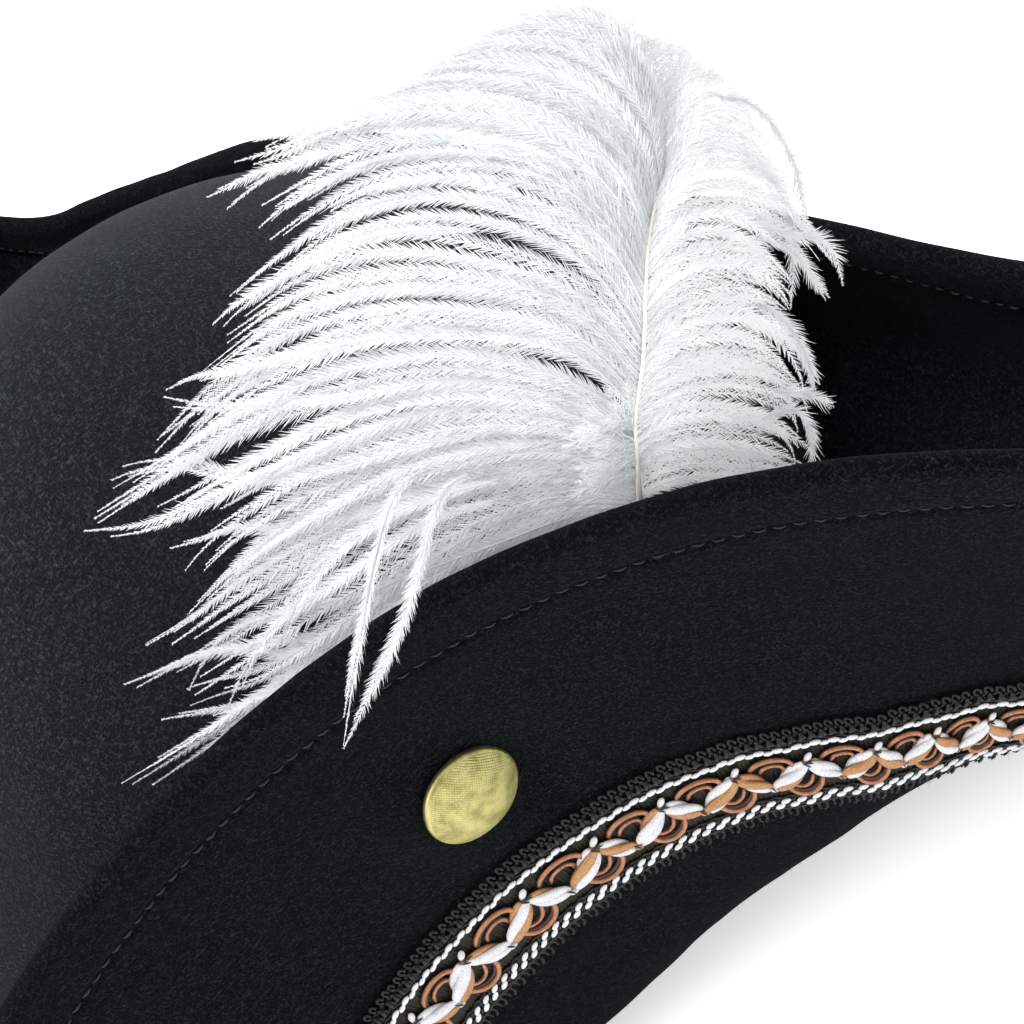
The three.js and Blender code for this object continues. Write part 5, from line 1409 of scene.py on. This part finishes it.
def leaf(bags, a, b, half, plies, twist, phase, d0=1.75):
    """Roll of satin plies from a to b (s, w); plies is a list of bag keys."""
    n = 16 if QUICK else 22
    t = np.linspace(0, 1, n)
    a, b = np.array(a, float), np.array(b, float)
    ax = unit(b - a)
    L = np.linalg.norm(b - a)
    sd = np.array([-ax[1], ax[0]])
    env = np.sin(np.pi * np.clip(t * 0.90 + 0.05, 0, 1)) ** 0.46
    bow = 0.28 * np.sin(np.pi * t)
    for k, key in enumerate(plies):
        ang = phase + k * 2 * np.pi / len(plies) + twist * (t - 0.5)
        off = np.cos(ang) * half * 0.52 * env + bow
        hgt = np.sin(ang) * half * 0.30 * env
        P = np.stack([a[0] + ax[0] * L * t + sd[0] * off, a[1] + ax[1] * L * t + sd[1] * off, d0 + hgt], 1)
        v, f = flat_tube(P, half * 0.62, half * 0.34, m=10, taper=np.maximum(env, 0.15))
        bags[key].add(v, f, rnd=0.0, along=np.repeat(t, 10))


def build_leaves():
    n = len(MOTIF) - 1
    pools = {"white": [[], [], 0, []], "gold": [[], [], 0, []]}
    for i in range(n):
        bags = {"white": Bag(), "gold": Bag()}
        r = RNG.uniform(-1, 1, 12)
        mixes = [("white", "gold", "white"), ("white", "white", "gold"), ("gold", "white", "white"), ("white", "gold", "gold")]
        pick = mixes[RNG.choice(4, p=[0.42, 0.25, 0.25, 0.08])]
        pick2 = mixes[RNG.choice(4, p=[0.40, 0.25, 0.27, 0.08])]
        leaf(bags, (-0.1 + 0.2 * r[0], 79.8 + 0.2 * r[1]), (4.6 + 0.2 * r[2], 85.2 + 0.2 * r[3]), 1.92 + 0.14 * r[4], pick, 2.6, 0.4 + 0.9 * r[5])
        leaf(bags, (5.7 + 0.2 * r[6], 85.5 + 0.2 * r[7]), (11.9 + 0.2 * r[8], 79.4 + 0.2 * r[9]), 2.0 + 0.14 * r[10], pick2, -2.6, 2.0 + 0.9 * r[11])
        key = "white" if RNG.uniform() < 0.7 else "gold"
        dash(bags[key], 12.85, 78.1, 1.75, 2.2, 0.62, 0.50, -1.0, m=10, n=12, power=0.45, rnd=0.0, along=0.5)
        dash(bags["white" if key == "gold" else "gold"], 12.35, 78.9, 1.6, 1.6, 0.5, 0.4, -1.1, m=8, n=8, rnd=0.0, along=0.5)
        key = "white" if RNG.uniform() < 0.6 else "gold"
        dash(bags[key], 5.0, 85.9, 1.7, 1.9, 0.62, 0.48, 0.35, m=10, n=12, rnd=0.0, along=0.5)
        for k, bag in bags.items():
            if not bag.v:
                continue
            V, F, C = bag.arrays()
            V[:, 0] = V[:, 0] * (MOTIF[i + 1] - MOTIF[i]) / PITCH + MOTIF[i]
            pool = pools[k]
            pool[0].append(braid(V[:, 0], V[:, 1], V[:, 2]))
            pool[1].append(F + pool[2])
            pool[2] += len(V)
            pool[3].append(C["along"])
    for k, mat, slot in (("white", M_SATIN, "trim_satin"), ("gold", M_GOLD, "trim_satin")):
        pool = pools[k]
        make_mesh("braid_leaf_" + k, np.concatenate(pool[0]), np.concatenate(pool[1]), mat=mat, slot=slot,
                  colors={"along": np.concatenate(pool[3])}, replaces=("trim_leaf_row",) if k == "white" else ())
    # thread wraps where the leaves meet
    bag = Bag()
    for cs, cw, tl in ((0.0, 79.3, 0.5), (12.6, 79.2, -0.5), (4.9, 85.2, 1.2), (12.2, 79.9, 1.0)):
        dash(bag, cs, cw, 2.25, 2.0, 0.16, 0.16, tl, m=6, n=7, rnd=0.0)
    V, F, C = tile(bag, PITCH, PHASE, jitter=0.08)
    make_mesh("braid_tie_thread", V, F, mat=M_THREAD, slot="trim_dark", colors=C)


def build_fray():
    """Stray fibres of the braid's edges."""
    n = 900 if QUICK else 3200
    s = RNG.uniform(0, ARC, n)
    top = RNG.uniform(size=n) < 0.6
    w = np.where(top, RNG.uniform(69.6, 73.5, n), RNG.uniform(92.0, 94.8, n))
    d = RNG.uniform(0.8, 1.7, n)
    P = braid(s, w, d)
    N = unit(braid(s, w, d + 1.0) - P)
    D = unit(RNG.normal(size=P.shape) * 0.9 + N * 0.7)
    V, F = ribbons(P, D, unit(RNG.normal(size=P.shape)), RNG.uniform(0.5, 1.7, n), np.full(n, 0.03), RNG.uniform(-0.4, 0.4, n))
    make_mesh("braid_fray", V, F, mat=M_FRAY, slot="trim_dark", smooth=False)


# ------------------------------------------------------------------ build
build_brim()
build_crown()
build_sweatband()
build_stitches()
build_nap()
build_buttons()
build_holder()
build_ribbon()
build_lace()
build_picots()
build_chains()
build_copper()
build_leaves()
build_fray()
build_plume()

# ------------------------------------------------------------------ stage
scene = bpy.context.scene
scene.view_settings.view_transform = "Standard"
scene.view_settings.look = "None"
scene.view_settings.exposure = 0.0
scene.view_settings.gamma = 1.0

world = bpy.data.worlds.new("studio")
scene.world = world
world.use_nodes = True
wn = world.node_tree
sky = wn.nodes.new("ShaderNodeTexCoord")
split = wn.nodes.new("ShaderNodeSeparateXYZ")
fade = wn.nodes.new("ShaderNodeMapRange")
wn.links.new(sky.outputs["Generated"], split.inputs[0])
wn.links.new(split.outputs[2], fade.inputs[0])
for i, v in ((1, -0.1), (2, 0.95), (3, 0.36), (4, 1.0)):
    fade.inputs[i].default_value = v
wn.nodes["Background"].inputs[0].default_value = (1.0, 1.0, 1.0, 1)
wn.links.new(fade.outputs[0], wn.nodes["Background"].inputs[1])

me = bpy.data.meshes.new("floor")
me.from_pydata([(-6, -6, -0.0002), (6, -6, -0.0002), (6, 6, -0.0002), (-6, 6, -0.0002)], [], [(0, 1, 2, 3)])
floor = bpy.data.objects.new("floor", me)
scene.collection.objects.link(floor)
mf = Nodes("pale_floor")
mf.set(Base_Color=mf.mix(mf.ramp(mf.noise(3, 2), [(0.3, 0.0), (0.7, 1.0)]), (0.92, 0.92, 0.92), (0.94, 0.94, 0.94)), Roughness=0.9, Emission_Color=(1, 1, 1, 1), Emission_Strength=0.55)
me.materials.append(mf.mat)
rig.stage(floor)


def area(name, loc, aim, size, watts, color=(1, 1, 1)):
    li = bpy.data.lights.new(name, "AREA")
    li.shape = "RECTANGLE"
    li.size, li.size_y = size
    li.energy = watts
    li.color = color
    ob = bpy.data.objects.new(name, li)
    scene.collection.objects.link(ob)
    ob.location = loc
    ob.rotation_euler = (Vector(aim) - Vector(loc)).to_track_quat("-Z", "Y").to_euler()
    return ob


area("key_top", (-0.45, 0.35, 1.40), (0.0, 0.0, 0.08), (0.9, 0.8), 22)
area("left_soft", (-1.35, -0.35, 0.95), (0.0, 0.0, 0.08), (0.7, 0.7), 9)
area("front_fill", (0.6, -1.5, 0.9), (0.0, 0.0, 0.06), (0.6, 0.5), 1.6)

cam = bpy.data.cameras.new("view")
camera = bpy.data.objects.new("view", cam)
scene.collection.objects.link(camera)
scene.camera = camera
cam.sensor_width = 36.0
cam.lens = 150.5
cam.clip_start, cam.clip_end = 0.05, 20.0
cam.dof.use_dof = False
right = Vector((0.74272, -0.43554, -0.50859))
up = Vector((0.66959, 0.48496, 0.56254))
back = Vector((0.00164, -0.75837, 0.65183))
where = (np.array([38.34, -627.20, 565.97]) - ORIGIN) / 1000.0
camera.matrix_world = Matrix(((right.x, up.x, back.x, where[0]), (right.y, up.y, back.y, where[1]), (right.z, up.z, back.z, where[2]), (0, 0, 0, 1)))

LO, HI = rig.bounds()
with open("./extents.json", "w") as handle:
    json.dump({"cad": [list(CAD_LO), list(CAD_HI)], "visual": [list(LO), list(HI)]}, handle, indent=1)
